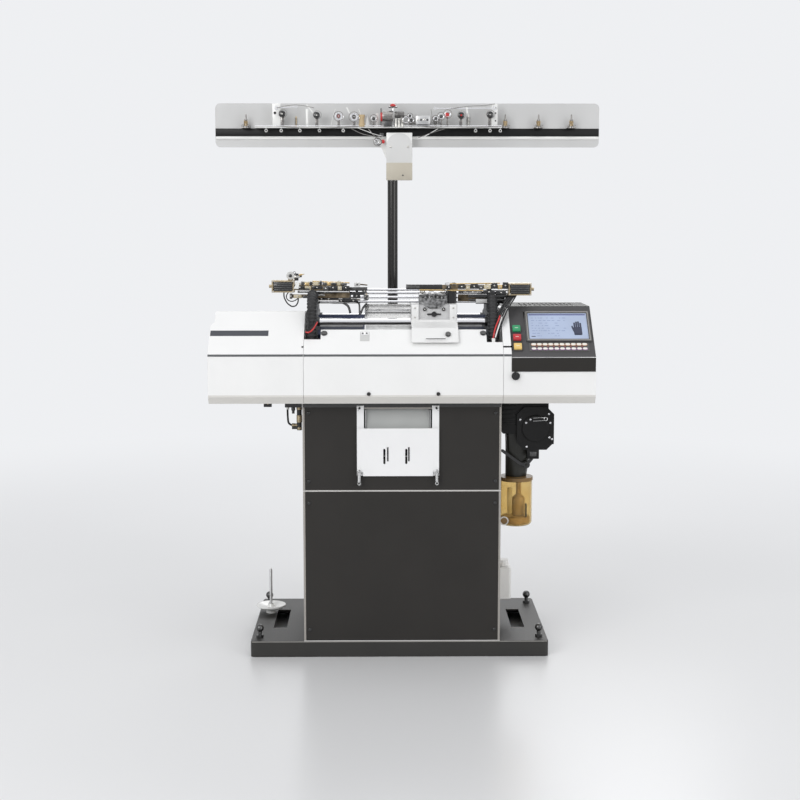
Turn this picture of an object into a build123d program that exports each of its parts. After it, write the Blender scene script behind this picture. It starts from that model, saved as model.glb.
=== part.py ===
from build123d import *
import math
import os

os.makedirs("parts", exist_ok=True)

# Automatic glove knitting machine, lengths in millimetres.
# X runs to the right as the operator sees it, Y runs away from the operator, Z is up.
# The origin is the centre of the floor base, on the floor.

# Floor base
base_width = 900.0
base_depth = 505.0
base_height = 48.0
base_sheet = 6.0
base_corner = 12.0
base_bevel = 3.0
slot_width = 41.0
slot_length = 215.0
slot_centre_x = 370.5
slot_centre_y = 5.0
bolt_inset_x = 25.0
bolt_inset_front = 47.0
bolt_inset_back = 64.0
stud_diameter = 12.0
foot_diameter = 30.0
foot_height = 6.0
ball_diameter = 24.0
stud_rise = 41.0
nut_width = 19.0
nut_height = 8.0

# Yarn cone seat on the base
cone_x = -412.0
cone_y = 80.0
cone_plate_diameter = 94.0
cone_plate_height = 11.0
cone_plate_gap = 16.0
spindle_diameter = 9.0
spindle_rise = 146.0

# Cabinet
cab_width = 590.0
cab_depth = 440.0
cab_height = 729.0
cab_centre_x = 7.0
cab_wall = 6.0
cab_flange = 22.0
panel_sheet = 2.0
panel_gap = 0.4
strip_light = 5.0
panel_split_z = 509.0
screw_head = 11.0
screw_height = 3.5
screw_shank = 5.0
screw_inset = 17.0

# Glove chute on the upper front panel
chute_centre_x = -5.0
chute_width = 244.0
chute_strip = 21.0
chute_top_z = 765.0
chute_plate_top_z = 698.0
chute_bottom_z = 555.0
chute_sheet = 2.0
chute_stand = 7.0
chute_notch = 12.0
chute_slot_width = 6.5
chute_slot_length = 46.0
chute_slot_spread = 65.0
chute_slot_z = 614.0
spring_diameter = 11.0
spring_wire = 1.8
spring_length = 40.0

# Body covers
left_end_x = -559.0
left_seam_x = -281.0
right_seam_x = 302.0
right_end_x = 572.0
body_front_y = -312.0
body_back_y = 200.0
cover_sheet = 3.0
seam_gap = 0.8
bevel_height = 21.0
bevel_depth = 14.0
face_height = 147.0
slope_angle = 41.5
left_ridge_z = 1040.0
roof_fall = 16.0
roof_back_inset = 150.0
front_lip_run = 74.0
lip_drop = 26.0
step_inset = 12.0
step_z = 1000.0
left_notch = 49.0
right_notch = 47.0

# Tray that carries the mechanism
tray_sheet = 6.0
tray_rim = 53.0
tray_inset_x = 19.0
tray_inset_y = 20.0

# Needle beds
trick_y = -60.0
trick_z = 1054.0
trick_gap = 8.0
bed_angle = 45.0
bed_first_x = -101.0
needle_pitch = 3.63
needle_count = 70
needle_slot = 1.3
needle_slot_depth = 4.5
needle_thickness = 0.9
bed_length = 108.0
bed_thickness = 12.0
bar_width = 20.0
bar_thickness = 16.0
upper_bar_at = 35.0
lower_bar_at = 92.0
presser_at = 24.0
presser_width = 11.0
presser_height = 4.0

# End brackets and rods
bracket_left_x = -262.0
bracket_right_x = 264.0
bracket_thickness = 16.0
rod_diameter = 20.0
rod_offset_y = 105.0
rod_z = 1008.0
rail_diameter = 8.0
fit_gap = 0.05
run_gap = 0.08
move_gap = 0.4

# Carriage
carriage_x = 103.5
carriage_width = 137.0
saddle_top_z = 1062.0
saddle_reach = 25.0
cam_gap = 9.0
head_width = 84.0
head_height = 30.0
bow_width = 28.0
bow_top_z = 1117.0
bow_thickness = 8.0
apron_sheet = 2.5
apron_gap = 10.0

# Carriage drive
belt_y = -200.0
belt_width = 18.0
belt_thickness = 3.0
pulley_z = 900.0
pulley_radius = 22.0
idler_x = -330.0
drive_x = 372.0
motor_size = 80.0
motor_length = 110.0

# Console
console_left_x = 326.0
console_face_z = 914.0
console_skirt = 42.0
console_top_z = 1053.0
console_sheet = 3.0
console_roof_depth = 200.0
screen_width = 176.0
screen_height = 108.0
bezel_rim = 9.0
bezel_height = 5.0
button_size = 23.0
button_height = 6.0
button_travel = 2.5
knob_diameter = 24.0

# Mast and tension panel
mast_x = -18.0
mast_y = 105.0
mast_diameter = 32.0
mast_wall = 3.0
mast_top_z = 1560.0
panel_centre_x = 29.0
panel_width = 1206.0
panel_bottom_z = 1536.0
panel_top_z = 1672.0
panel_y = 128.0
tension_sheet = 2.0
black_strip_bottom_z = 1570.0
black_strip_height = 24.0
shelf_left_x = -446.0
shelf_right_x = 322.0
shelf_y = 76.0
shelf_z = 1594.0
shelf_depth = 46.0
shelf_sheet = 3.0

# Waste blower and jar under the right end
blower_x = 400.0
blower_y = -190.0
flange_size = 112.0
jar_x = 357.0
jar_diameter = 104.0
jar_height = 138.0
jar_top_z = 520.0
jar_wall = 3.0

# Values worked out from the driving dimensions
cab_front_y = -base_depth / 2
cab_back_y = cab_front_y + cab_depth
cab_centre_y = (cab_front_y + cab_back_y) / 2
cab_left_x = cab_centre_x - cab_width / 2
cab_right_x = cab_centre_x + cab_width / 2
floor_z = base_height + cab_height
face_bottom_z = floor_z + bevel_height
face_top_z = floor_z + face_height
slope_rise = math.tan(math.radians(slope_angle))
slope_cos = math.cos(math.radians(slope_angle))
slope_sin = math.sin(math.radians(slope_angle))
bed_cos = math.cos(math.radians(bed_angle))
bed_sin = math.sin(math.radians(bed_angle))
bed_width = needle_pitch * needle_count
bed_centre_x = bed_first_x + bed_width / 2
tray_z = floor_z + tray_sheet
bolt_front_y = -base_depth / 2 + bolt_inset_front
bolt_back_y = base_depth / 2 - bolt_inset_back
bolt_x = base_width / 2 - bolt_inset_x
bolt_points = [
    (-bolt_x, bolt_front_y),
    (bolt_x, bolt_front_y),
    (-bolt_x, bolt_back_y),
    (bolt_x, bolt_back_y),
]


def bed_point(along, above, side=-1):
    """Point (Y, Z) on a needle bed: distance down from the trick, height over the bed."""
    y = trick_y + side * (trick_gap / 2 + along * bed_cos + above * bed_sin)
    z = trick_z - along * bed_sin + above * bed_cos
    return (y, z)


def slope_point(run, above=0.0):
    """Point (Y, Z) on the slanted front of the covers, at a run behind the front face."""
    y = body_front_y + run - above * slope_sin
    z = face_top_z + run * slope_rise + above * slope_cos
    return (y, z)


def upright(y):
    """Plane that faces the operator at depth y: local x is X, local y is Z."""
    return Plane.XZ.offset(-y)


# Floor base: a tray with its rim down, two through slots and four threaded bosses
with BuildPart() as base_frame:
    with BuildSketch():
        RectangleRounded(base_width, base_depth, base_corner)
    extrude(amount=base_height)
    chamfer(base_frame.faces().sort_by(Axis.Z)[-1].edges(), base_bevel)
    with BuildSketch():
        RectangleRounded(
            base_width - 2 * base_sheet, base_depth - 2 * base_sheet, base_corner - base_sheet / 2
        )
    extrude(amount=base_height - base_sheet, mode=Mode.SUBTRACT)
    with BuildSketch(Plane.XY.offset(base_height - base_sheet)):
        with Locations((cab_left_x, 0), (cab_right_x, 0)):
            Rectangle(base_sheet, base_depth - 2 * base_sheet)
    extrude(amount=-(base_height - 2 * base_sheet))
    with BuildSketch():
        Rectangle(base_sheet, base_depth - 2 * base_sheet)
    extrude(amount=base_height - base_sheet)
    with BuildSketch(Plane.XY.offset(base_height - base_sheet)):
        with Locations(*bolt_points):
            Circle(foot_diameter / 2)
    extrude(amount=-(base_height / 2))
    with BuildSketch(Plane.XY.offset(base_height)):
        with Locations((-slot_centre_x, slot_centre_y), (slot_centre_x, slot_centre_y)):
            RectangleRounded(slot_width, slot_length, base_bevel)
        with Locations(*bolt_points):
            Circle(stud_diameter / 2 + fit_gap)
    extrude(amount=-base_height, mode=Mode.SUBTRACT)
base_frame.part.label = "base_frame"

# Levelling bolts: a foot on the floor, a stud through the boss, a ball head and a lock nut
with BuildPart() as leveling_bolts:
    with BuildSketch():
        with Locations(*bolt_points):
            Circle(foot_diameter / 2)
    extrude(amount=foot_height)
    with BuildSketch(Plane.XY.offset(foot_height)):
        with Locations(*bolt_points):
            Circle(stud_diameter / 2)
    extrude(amount=base_height + stud_rise - ball_diameter / 2 - foot_height)
    with Locations(*[(x, y, base_height + stud_rise - ball_diameter / 2) for x, y in bolt_points]):
        Sphere(ball_diameter / 2)
    with BuildSketch(Plane.XY.offset(base_height)):
        with Locations(*bolt_points):
            RegularPolygon(nut_width / 2, 6, major_radius=False)
        with Locations(*bolt_points):
            Circle(stud_diameter / 2 + fit_gap, mode=Mode.SUBTRACT)
    extrude(amount=nut_height)
leveling_bolts.part.label = "leveling_bolts"

# Yarn cone seat: spindle with a foot on the base, and a dished plate pressed on the spindle
with BuildPart() as cone_seat:
    with BuildSketch(Plane.XZ.offset(-cone_y)):
        with BuildLine():
            Polyline(
                (cone_x, base_height),
                (cone_x + 16, base_height),
                (cone_x + 16, base_height + 5),
                (cone_x + 8, base_height + cone_plate_gap),
                (cone_x + spindle_diameter / 2, base_height + cone_plate_gap),
                (cone_x + spindle_diameter / 2, base_height + spindle_rise - 6),
                (cone_x + spindle_diameter / 2 - 2, base_height + spindle_rise),
                (cone_x, base_height + spindle_rise),
                close=True,
            )
        make_face()
    revolve(axis=Axis((cone_x, cone_y, 0), (0, 0, 1)))
    with BuildSketch(Plane.XZ.offset(-cone_y)):
        with BuildLine():
            Polyline(
                (cone_x + spindle_diameter / 2, base_height + cone_plate_gap),
                (cone_x + cone_plate_diameter / 2 - 9, base_height + cone_plate_gap),
                (cone_x + cone_plate_diameter / 2, base_height + cone_plate_gap + 6),
                (cone_x + cone_plate_diameter / 2, base_height + cone_plate_gap + cone_plate_height),
                (cone_x + cone_plate_diameter / 2 - 5, base_height + cone_plate_gap + cone_plate_height),
                (cone_x + 13, base_height + cone_plate_gap + 4),
                (cone_x + 9, base_height + cone_plate_gap + cone_plate_height + 3),
                (cone_x + spindle_diameter / 2, base_height + cone_plate_gap + cone_plate_height + 3),
                close=True,
            )
        make_face()
    revolve(axis=Axis((cone_x, cone_y, 0), (0, 0, 1)))
cone_seat.part.label = "cone_seat"

# Cabinet frame: welded sheet box with light edges, panel recesses and an open drop in its roof
lower_panel_bottom_z = base_height + strip_light / 2
lower_panel_top_z = panel_split_z - strip_light / 2
upper_panel_bottom_z = panel_split_z + strip_light / 2
upper_panel_top_z = floor_z
panel_width_front = cab_width - 2 * cab_wall
drop_width = 220.0
drop_depth = 96.0
drop_centre_y = trick_y
recess_spans = [
    (lower_panel_bottom_z, lower_panel_top_z),
    (upper_panel_bottom_z, upper_panel_top_z),
]
with BuildPart() as cabinet_frame:
    with BuildSketch(Plane.XY.offset(base_height)):
        with Locations((cab_centre_x, cab_centre_y)):
            Rectangle(cab_width, cab_depth)
    extrude(amount=cab_height)
    with BuildSketch(Plane.XY.offset(base_height + cab_wall)):
        with Locations((cab_centre_x, cab_centre_y)):
            Rectangle(cab_width - 2 * cab_wall, cab_depth - 2 * cab_wall)
    extrude(amount=cab_height - 2 * cab_wall, mode=Mode.SUBTRACT)
    for bottom, top in recess_spans:
        with BuildSketch(upright(cab_front_y)):
            with Locations((cab_centre_x, (bottom + top) / 2)):
                Rectangle(panel_width_front, top - bottom)
        extrude(amount=-panel_sheet, mode=Mode.SUBTRACT)
        with BuildSketch(upright(cab_front_y)):
            with Locations((cab_centre_x, (bottom + top) / 2)):
                Rectangle(panel_width_front - 2 * cab_flange, top - bottom - 2 * cab_flange)
        extrude(amount=-cab_wall, mode=Mode.SUBTRACT)
    with BuildSketch(upright(cab_back_y)):
        with Locations((cab_centre_x, base_height + cab_height / 2)):
            Rectangle(panel_width_front - 2 * cab_flange, cab_height - 4 * cab_flange)
    extrude(amount=cab_wall, mode=Mode.SUBTRACT)
    with BuildSketch(Plane.XY.offset(floor_z)):
        with Locations((chute_centre_x, drop_centre_y)):
            RectangleRounded(drop_width, drop_depth, base_bevel)
    extrude(amount=-cab_wall, mode=Mode.SUBTRACT)
cabinet_frame.part.label = "cabinet_frame"

# Front panels: dark sheets that lie in the recesses of the frame
chute_open_top_z = chute_top_z - 4
chute_open_bottom_z = chute_plate_top_z - 90
panel_screw_points = [
    (side * (panel_width_front / 2 - screw_inset / 2 - 3) + cab_centre_x, z)
    for side in (-1, 1)
    for z in (
        lower_panel_bottom_z + 2 * screw_inset,
        lower_panel_top_z - 2 * screw_inset,
        upper_panel_bottom_z + 1.6 * screw_inset,
        upper_panel_top_z - 2 * screw_inset,
    )
]
with BuildPart() as lower_front_panel:
    with BuildSketch(upright(cab_front_y)):
        with Locations((cab_centre_x, (lower_panel_bottom_z + lower_panel_top_z) / 2)):
            RectangleRounded(
                panel_width_front - 2 * panel_gap,
                lower_panel_top_z - lower_panel_bottom_z - 2 * panel_gap,
                base_bevel,
            )
        with Locations(*panel_screw_points):
            Circle(screw_shank / 2 + fit_gap, mode=Mode.SUBTRACT)
    extrude(amount=-panel_sheet)
lower_front_panel.part.label = "lower_front_panel"

with BuildPart() as upper_front_panel:
    with BuildSketch(upright(cab_front_y)):
        with Locations((cab_centre_x, (upper_panel_bottom_z + upper_panel_top_z) / 2)):
            RectangleRounded(
                panel_width_front - 2 * panel_gap,
                upper_panel_top_z - upper_panel_bottom_z - 2 * panel_gap,
                base_bevel,
            )
        with Locations(*panel_screw_points):
            Circle(screw_shank / 2 + fit_gap, mode=Mode.SUBTRACT)
        with Locations((chute_centre_x, (chute_open_top_z + chute_open_bottom_z) / 2)):
            Rectangle(
                chute_width - 2 * chute_strip,
                chute_open_top_z - chute_open_bottom_z,
                mode=Mode.SUBTRACT,
            )
    extrude(amount=-panel_sheet)
upper_front_panel.part.label = "upper_front_panel"

# Button-head screws of the front panels: domed heads and shanks into the flanges
with BuildPart() as panel_screws:
    with BuildSketch(upright(cab_front_y)):
        with Locations(*panel_screw_points):
            Circle(screw_head / 2)
    extrude(amount=screw_height)
    fillet(panel_screws.faces().sort_by(Axis.Y)[:8].edges(), screw_height * 0.6)
    with BuildSketch(upright(cab_front_y)):
        with Locations(*panel_screw_points):
            Circle(screw_shank / 2)
    extrude(amount=-panel_sheet)

# Rear panel: flat sheet with two columns of air slots
with BuildPart() as rear_panel:
    with BuildSketch(upright(cab_back_y)):
        with Locations((cab_centre_x, base_height + cab_height / 2)):
            RectangleRounded(cab_width - 2 * cab_wall, cab_height - 2 * cab_flange, 4 * base_bevel)
            with GridLocations(210, 26, 2, 9):
                SlotOverall(130, 8, mode=Mode.SUBTRACT)
    extrude(amount=-panel_sheet)
rear_panel.part.label = "rear_panel"

# Glove chute: two strips on the panel, bent forward to a notched front plate with two slots
chute_face_y = cab_front_y - chute_stand
chute_half = chute_width / 2
chute_inner = chute_half - chute_strip
with BuildPart() as glove_chute:
    for side in (-1, 1):
        with BuildSketch(upright(cab_front_y)):
            with Locations((chute_centre_x + side * (chute_half - chute_strip / 2), (chute_top_z + chute_bottom_z) / 2)):
                Rectangle(chute_strip, chute_top_z - chute_bottom_z)
        extrude(amount=chute_sheet)
        with BuildSketch(upright(cab_front_y)):
            with Locations(
                (chute_centre_x + side * (chute_inner - chute_sheet / 2), (chute_plate_top_z + chute_bottom_z) / 2)
            ):
                Rectangle(chute_sheet, chute_plate_top_z - chute_bottom_z)
        extrude(amount=chute_stand)
    with BuildSketch(upright(cab_front_y)):
        with Locations((chute_centre_x, chute_bottom_z + chute_sheet / 2)):
            Rectangle(2 * chute_inner, chute_sheet)
    extrude(amount=chute_stand)
    with BuildSketch(upright(cab_front_y)):
        with Locations(*[(chute_centre_x + side * (chute_half - 7), chute_top_z - 7) for side in (-1, 1)]):
            Circle(screw_shank / 2 + fit_gap)
    extrude(amount=chute_sheet, mode=Mode.SUBTRACT)
    with BuildSketch(upright(chute_face_y)):
        with Locations((chute_centre_x, (chute_plate_top_z + chute_bottom_z) / 2)):
            Rectangle(chute_width - 2 * panel_gap, chute_plate_top_z - chute_bottom_z)
        with Locations(*[(chute_centre_x + side * chute_half, chute_bottom_z) for side in (-1, 1)]):
            Rectangle(3 * chute_notch, 2 * chute_notch, mode=Mode.SUBTRACT)
        with Locations(
            *[(chute_centre_x + side * chute_slot_spread / 2 - 8, chute_slot_z) for side in (-1, 1)]
        ):
            SlotOverall(chute_slot_length, chute_slot_width, rotation=90, mode=Mode.SUBTRACT)
    extrude(amount=chute_sheet)
glove_chute.part.label = "glove_chute"

# Screws at the top of the chute strips
with BuildPart() as chute_screws:
    with BuildSketch(upright(cab_front_y - chute_sheet)):
        with Locations(*[(chute_centre_x + side * (chute_half - 7), chute_top_z - 7) for side in (-1, 1)]):
            Circle(screw_head / 2 - 1.5)
    extrude(amount=screw_height - 1)
    with BuildSketch(upright(cab_front_y - chute_sheet)):
        with Locations(*[(chute_centre_x + side * (chute_half - 7), chute_top_z - 7) for side in (-1, 1)]):
            Circle(screw_shank / 2)
    extrude(amount=-chute_sheet)

# Spring studs: two on the front plate, two on the panel below it
spring_x = chute_half - spring_diameter / 2 - 1
spring_top_z = chute_bottom_z + chute_notch + 5
spring_y = chute_face_y - chute_sheet - spring_diameter / 2 - move_gap
spring_bottom_z = spring_top_z - spring_length
with BuildPart() as spring_studs:
    for side in (-1, 1):
        with BuildSketch(upright(chute_face_y - chute_sheet)):
            with Locations((chute_centre_x + side * spring_x, spring_top_z)):
                Circle(2.2)
        extrude(amount=spring_diameter + 1)
        with BuildSketch(upright(cab_front_y)):
            with Locations((chute_centre_x + side * spring_x, spring_bottom_z)):
                Circle(2.2)
        extrude(amount=spring_diameter + chute_stand + chute_sheet + 1)

# Two tension springs between the studs: close coils and a ring at each end
coil_turns = 9
coil_length = spring_length - 2 * spring_diameter + 6 * spring_wire
coil_pitch = coil_length / coil_turns
coil_start_z = (spring_top_z + spring_bottom_z - coil_length) / 2
ring_radius = spring_diameter / 2 - spring_wire / 2
with BuildPart() as chute_springs:
    add(spring_studs.part)
    for side in (-1, 1):
        x = chute_centre_x + side * spring_x
        groove_points = []
        for turn in range(coil_turns):
            groove_points.append((x + ring_radius, coil_start_z + turn * coil_pitch))
            groove_points.append((x + spring_diameter / 2, coil_start_z + (turn + 0.5) * coil_pitch))
        with BuildSketch(upright(spring_y)):
            with BuildLine():
                Polyline(
                    (x + ring_radius - spring_wire, coil_start_z),
                    *groove_points,
                    (x + ring_radius, coil_start_z + coil_length),
                    (x + ring_radius - spring_wire, coil_start_z + coil_length),
                    close=True,
                )
            make_face()
        revolve(axis=Axis((x, spring_y, 0), (0, 0, 1)))
        for z, direction in ((spring_top_z, 1), (spring_bottom_z, -1)):
            with Locations(Location((x, spring_y, z - direction * (ring_radius - 3.2)), (90, 0, 0))):
                Torus(ring_radius, spring_wire / 2)
chute_springs.part.label = "chute_springs"

# Slide inside the cabinet that brings the glove from the drop to the chute
slide_half = chute_inner - 4
slide_sheet = 2.0
with BuildPart() as glove_slide:
    with BuildSketch(Plane.YZ.offset(chute_centre_x - slide_half)):
        with BuildLine():
            Polyline(
                (cab_front_y + panel_sheet, chute_open_bottom_z + 4),
                (cab_front_y + panel_sheet, chute_open_bottom_z + 6),
                (drop_centre_y + drop_depth / 2 - 4, floor_z - cab_wall - 10),
                (drop_centre_y + drop_depth / 2, floor_z - cab_wall - 10),
                close=True,
            )
        make_face()
    extrude(amount=2 * slide_half)
    for x in (chute_centre_x - slide_half, chute_centre_x + slide_half - slide_sheet):
        with BuildSketch(Plane.YZ.offset(x)):
            with BuildLine():
                Polyline(
                    (cab_front_y + panel_sheet, chute_open_bottom_z + 4),
                    (cab_front_y + cab_wall, chute_open_top_z - 10),
                    (drop_centre_y + drop_depth / 2, floor_z - cab_wall),
                    (drop_centre_y + drop_depth / 2, floor_z - cab_wall - 10),
                    close=True,
                )
            make_face()
        extrude(amount=slide_sheet)

# Electronics box on the cabinet floor
box_width = 380.0
box_depth = 170.0
box_height = 300.0
with BuildPart() as electronics_box:
    with BuildSketch(Plane.XY.offset(base_height + cab_wall)):
        with Locations((cab_centre_x, cab_back_y - cab_wall - box_depth / 2 - 20)):
            RectangleRounded(box_width, box_depth, 2 * base_bevel)
    extrude(amount=box_height)
    with BuildSketch(upright(cab_back_y - cab_wall - 20)):
        with Locations((cab_centre_x, base_height + cab_wall + box_height / 2)):
            with GridLocations(0, 14, 1, 8):
                SlotOverall(box_width * 0.5, 5)
    extrude(amount=4, mode=Mode.SUBTRACT)
electronics_box.part.label = "electronics_box"

# Oil tank on the right wall of the cabinet, with a neck, and its cap
tank_width = 50.0
tank_depth = 86.0
tank_height = 98.0
tank_y = -20.0
tank_z = 128.0
cap_radius = 19.0
with BuildPart() as oil_tank:
    with BuildSketch(Plane.XY.offset(tank_z)):
        with Locations((cab_right_x + tank_width / 2, tank_y)):
            RectangleRounded(tank_width, tank_depth, 8)
    extrude(amount=tank_height)
    fillet(oil_tank.faces().sort_by(Axis.Z)[-1].edges(), 5)
    with BuildSketch(Plane.XY.offset(tank_z + tank_height)):
        with Locations((cab_right_x + tank_width / 2, tank_y)):
            Circle(cap_radius - 4)
    extrude(amount=7)
    with BuildSketch(Plane.XY.offset(tank_z + tank_height + 7)):
        with Locations((cab_right_x + tank_width / 2, tank_y)):
            RegularPolygon(cap_radius, 12)
    extrude(amount=12)
    fillet(oil_tank.faces().sort_by(Axis.Z)[-1].edges(), 1.5)
oil_tank.part.label = "oil_tank"


# Covers of the body: every section is one outline in Y and Z
def cover_outline(front, back, bottom, ridge, fall, back_run):
    """Closed section of a cover: bevel, front face, slanted front, roof, slanted back, back face, bevel."""
    lean = bevel_depth / bevel_height
    reach = (face_bottom_z - bottom) * lean
    ridge_run = (ridge - face_top_z) / slope_rise
    back_ridge = ridge - fall
    return [
        (front + reach, bottom),
        (front, face_bottom_z),
        (front, face_top_z),
        (front + ridge_run, ridge),
        (back - back_run, back_ridge),
        (back, back_ridge - back_run * slope_rise),
        (back, face_bottom_z),
        (back - reach, bottom),
    ]


tray_front_y = body_front_y + tray_inset_y
tray_back_y = body_back_y - tray_inset_y
cheek_top_z = pulley_z + 2 * pulley_radius
left_outline = cover_outline(body_front_y, body_back_y, floor_z, left_ridge_z, roof_fall, roof_back_inset * 0.75)
lean_height = bevel_height / 2
left_void_outline = cover_outline(
    body_front_y, body_back_y, floor_z - lean_height, left_ridge_z, roof_fall, roof_back_inset * 0.75
)

# Left cover: hollow, open below, its upper part stepped in at the end
with BuildPart() as left_void:
    with BuildSketch(Plane.YZ.offset(left_end_x + cover_sheet)):
        with BuildLine():
            Polyline(*left_void_outline, close=True)
        make_face()
        offset(amount=-cover_sheet, kind=Kind.INTERSECTION)
    extrude(amount=left_seam_x - left_end_x - 2 * cover_sheet)
    with BuildSketch(upright(body_front_y)):
        with BuildLine():
            Polyline(
                (left_end_x - 1, step_z - cover_sheet - 1),
                (left_end_x + step_inset + cover_sheet, step_z - cover_sheet + step_inset),
                (left_end_x + step_inset + cover_sheet, left_ridge_z + 1),
                (left_end_x - 1, left_ridge_z + 1),
                close=True,
            )
        make_face()
    extrude(amount=-(body_back_y - body_front_y), mode=Mode.SUBTRACT)

with BuildPart() as left_cover:
    with BuildSketch(Plane.YZ.offset(left_end_x)):
        with BuildLine():
            Polyline(*left_outline, close=True)
        make_face()
    extrude(amount=left_seam_x - left_end_x - seam_gap / 2)
    with BuildSketch(upright(body_front_y)):
        with BuildLine():
            Polyline(
                (left_end_x - 1, step_z - 1),
                (left_end_x + step_inset, step_z + step_inset),
                (left_end_x + step_inset, left_ridge_z + 1),
                (left_end_x - 1, left_ridge_z + 1),
                close=True,
            )
        make_face()
    extrude(amount=-(body_back_y - body_front_y), mode=Mode.SUBTRACT)
    fillet(left_cover.edges().filter_by(Axis.X).group_by(Axis.Z)[-1], 2 * cover_sheet)
    add(left_void.part, mode=Mode.SUBTRACT)
    with BuildSketch(Plane.YZ.offset(left_seam_x)):
        with Locations(((tray_front_y + tray_back_y) / 2, (floor_z + cheek_top_z) / 2)):
            Rectangle(tray_back_y - tray_front_y + 2, cheek_top_z - floor_z + 2)
    extrude(amount=-(2 * cover_sheet), mode=Mode.SUBTRACT)
left_cover.part.label = "left_cover"

# Right cover: same front slope, a roof under the console, its left cheek shows beside the window
right_ridge_z = console_top_z - 6
right_outline = cover_outline(
    body_front_y, body_back_y, floor_z, right_ridge_z, roof_fall / 4, roof_back_inset
)
right_void_outline = cover_outline(
    body_front_y, body_back_y, floor_z - lean_height, right_ridge_z, roof_fall / 4, roof_back_inset
)
with BuildPart() as right_void:
    with BuildSketch(Plane.YZ.offset(right_seam_x + cover_sheet)):
        with BuildLine():
            Polyline(*right_void_outline, close=True)
        make_face()
        offset(amount=-cover_sheet, kind=Kind.INTERSECTION)
    extrude(amount=right_end_x - right_seam_x - 2 * cover_sheet)
    with BuildSketch(Plane.YZ.offset(console_left_x - move_gap)):
        Rectangle(4 * body_back_y, 4 * right_ridge_z)
    extrude(amount=-cover_sheet, mode=Mode.SUBTRACT)

knob_x = console_left_x + knob_diameter / 2 - 1
knob_z = console_face_z - console_skirt - knob_diameter / 2 - 0.5
console_base_z = console_face_z - console_skirt
console_back_y = console_roof_depth + body_front_y + (console_top_z - console_face_z) / slope_rise
with BuildPart() as right_cover:
    with BuildSketch(Plane.YZ.offset(right_seam_x + seam_gap / 2)):
        with BuildLine():
            Polyline(*right_outline, close=True)
        make_face()
    extrude(amount=right_end_x - right_seam_x - seam_gap / 2)
    add(right_void.part, mode=Mode.SUBTRACT)
    with BuildSketch(Plane.YZ.offset(right_seam_x)):
        with Locations(((tray_front_y + tray_back_y) / 2, (floor_z + cheek_top_z) / 2)):
            Rectangle(tray_back_y - tray_front_y + 2, cheek_top_z - floor_z + 2)
    extrude(amount=console_left_x - right_seam_x, mode=Mode.SUBTRACT)
    with BuildSketch(Plane.XY.offset(console_base_z - move_gap)):
        with Locations(((console_left_x + right_end_x) / 2, (console_back_y + 2 * body_front_y) / 2)):
            Rectangle(
                right_end_x - console_left_x + 2 * move_gap,
                console_back_y - 2 * body_front_y + 2 * move_gap,
            )
    extrude(amount=right_ridge_z, mode=Mode.SUBTRACT)
    with BuildSketch(upright(body_front_y)):
        with Locations((knob_x, knob_z)):
            Circle(knob_diameter / 4 + run_gap)
    extrude(amount=-2 * cover_sheet, mode=Mode.SUBTRACT)
right_cover.part.label = "right_cover"

# Front cover: one folded sheet from the bevel to the lip of the window, notched for the hoses
lip_y, lip_z = slope_point(front_lip_run)
lean = bevel_depth / bevel_height
front_cover_path = [
    (body_front_y + bevel_depth, floor_z),
    (body_front_y, face_bottom_z),
    (body_front_y, face_top_z),
    (lip_y, lip_z),
    (lip_y, lip_z - lip_drop),
]
cover_screw_x = (-91.0, 112.0)
cover_screw_z = floor_z + 30
slope_screw_run = 62.0
slope_screw_x = (-222.0, 246.0)
front_width = right_seam_x - left_seam_x - seam_gap
slope_plane_face = Plane(
    origin=(0, slope_point(slope_screw_run)[0], slope_point(slope_screw_run)[1]),
    x_dir=(1, 0, 0),
    z_dir=(0, -slope_sin, slope_cos),
)
with BuildPart() as front_cover:
    with BuildSketch(Plane.YZ.offset(left_seam_x + seam_gap / 2)):
        with BuildLine():
            Polyline(*front_cover_path)
            offset(amount=cover_sheet, side=Side.RIGHT, kind=Kind.INTERSECTION)
        make_face()
    extrude(amount=front_width)
    notch_bottom_z = slope_point(44)[1]
    with BuildSketch(upright(lip_y + 5)):
        with Locations((left_seam_x + left_notch / 2, (notch_bottom_z + lip_z + 20) / 2)):
            Rectangle(left_notch, lip_z + 20 - notch_bottom_z)
        with Locations((right_seam_x - right_notch / 2, (notch_bottom_z + lip_z + 12) / 2)):
            Rectangle(right_notch, lip_z + 28 - notch_bottom_z)
    extrude(amount=80, mode=Mode.SUBTRACT)
    with BuildSketch(upright(body_front_y)):
        with Locations(*[(x, cover_screw_z) for x in cover_screw_x]):
            Circle(screw_shank / 2 + fit_gap)
    extrude(amount=-2 * cover_sheet, mode=Mode.SUBTRACT)
    with BuildSketch(slope_plane_face):
        with Locations(*[(x, 0) for x in slope_screw_x]):
            Circle(screw_shank / 2 + fit_gap)
    extrude(amount=-2 * cover_sheet, mode=Mode.SUBTRACT)
front_cover.part.label = "front_cover"

# Rear cover: plain folded sheet with a lower lip than the front
back_lip_run = 60.0
rear_cover_path = [
    (body_back_y - bevel_depth, floor_z),
    (body_back_y, face_bottom_z),
    (body_back_y, face_top_z),
    (body_back_y - back_lip_run, face_top_z + back_lip_run * slope_rise),
    (body_back_y - back_lip_run, face_top_z + back_lip_run * slope_rise - lip_drop),
]
with BuildPart() as rear_cover:
    with BuildSketch(Plane.YZ.offset(left_seam_x + seam_gap / 2)):
        with BuildLine():
            Polyline(*rear_cover_path)
            offset(amount=cover_sheet, side=Side.LEFT, kind=Kind.INTERSECTION)
        make_face()
    extrude(amount=front_width)
rear_cover.part.label = "rear_cover"

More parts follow.
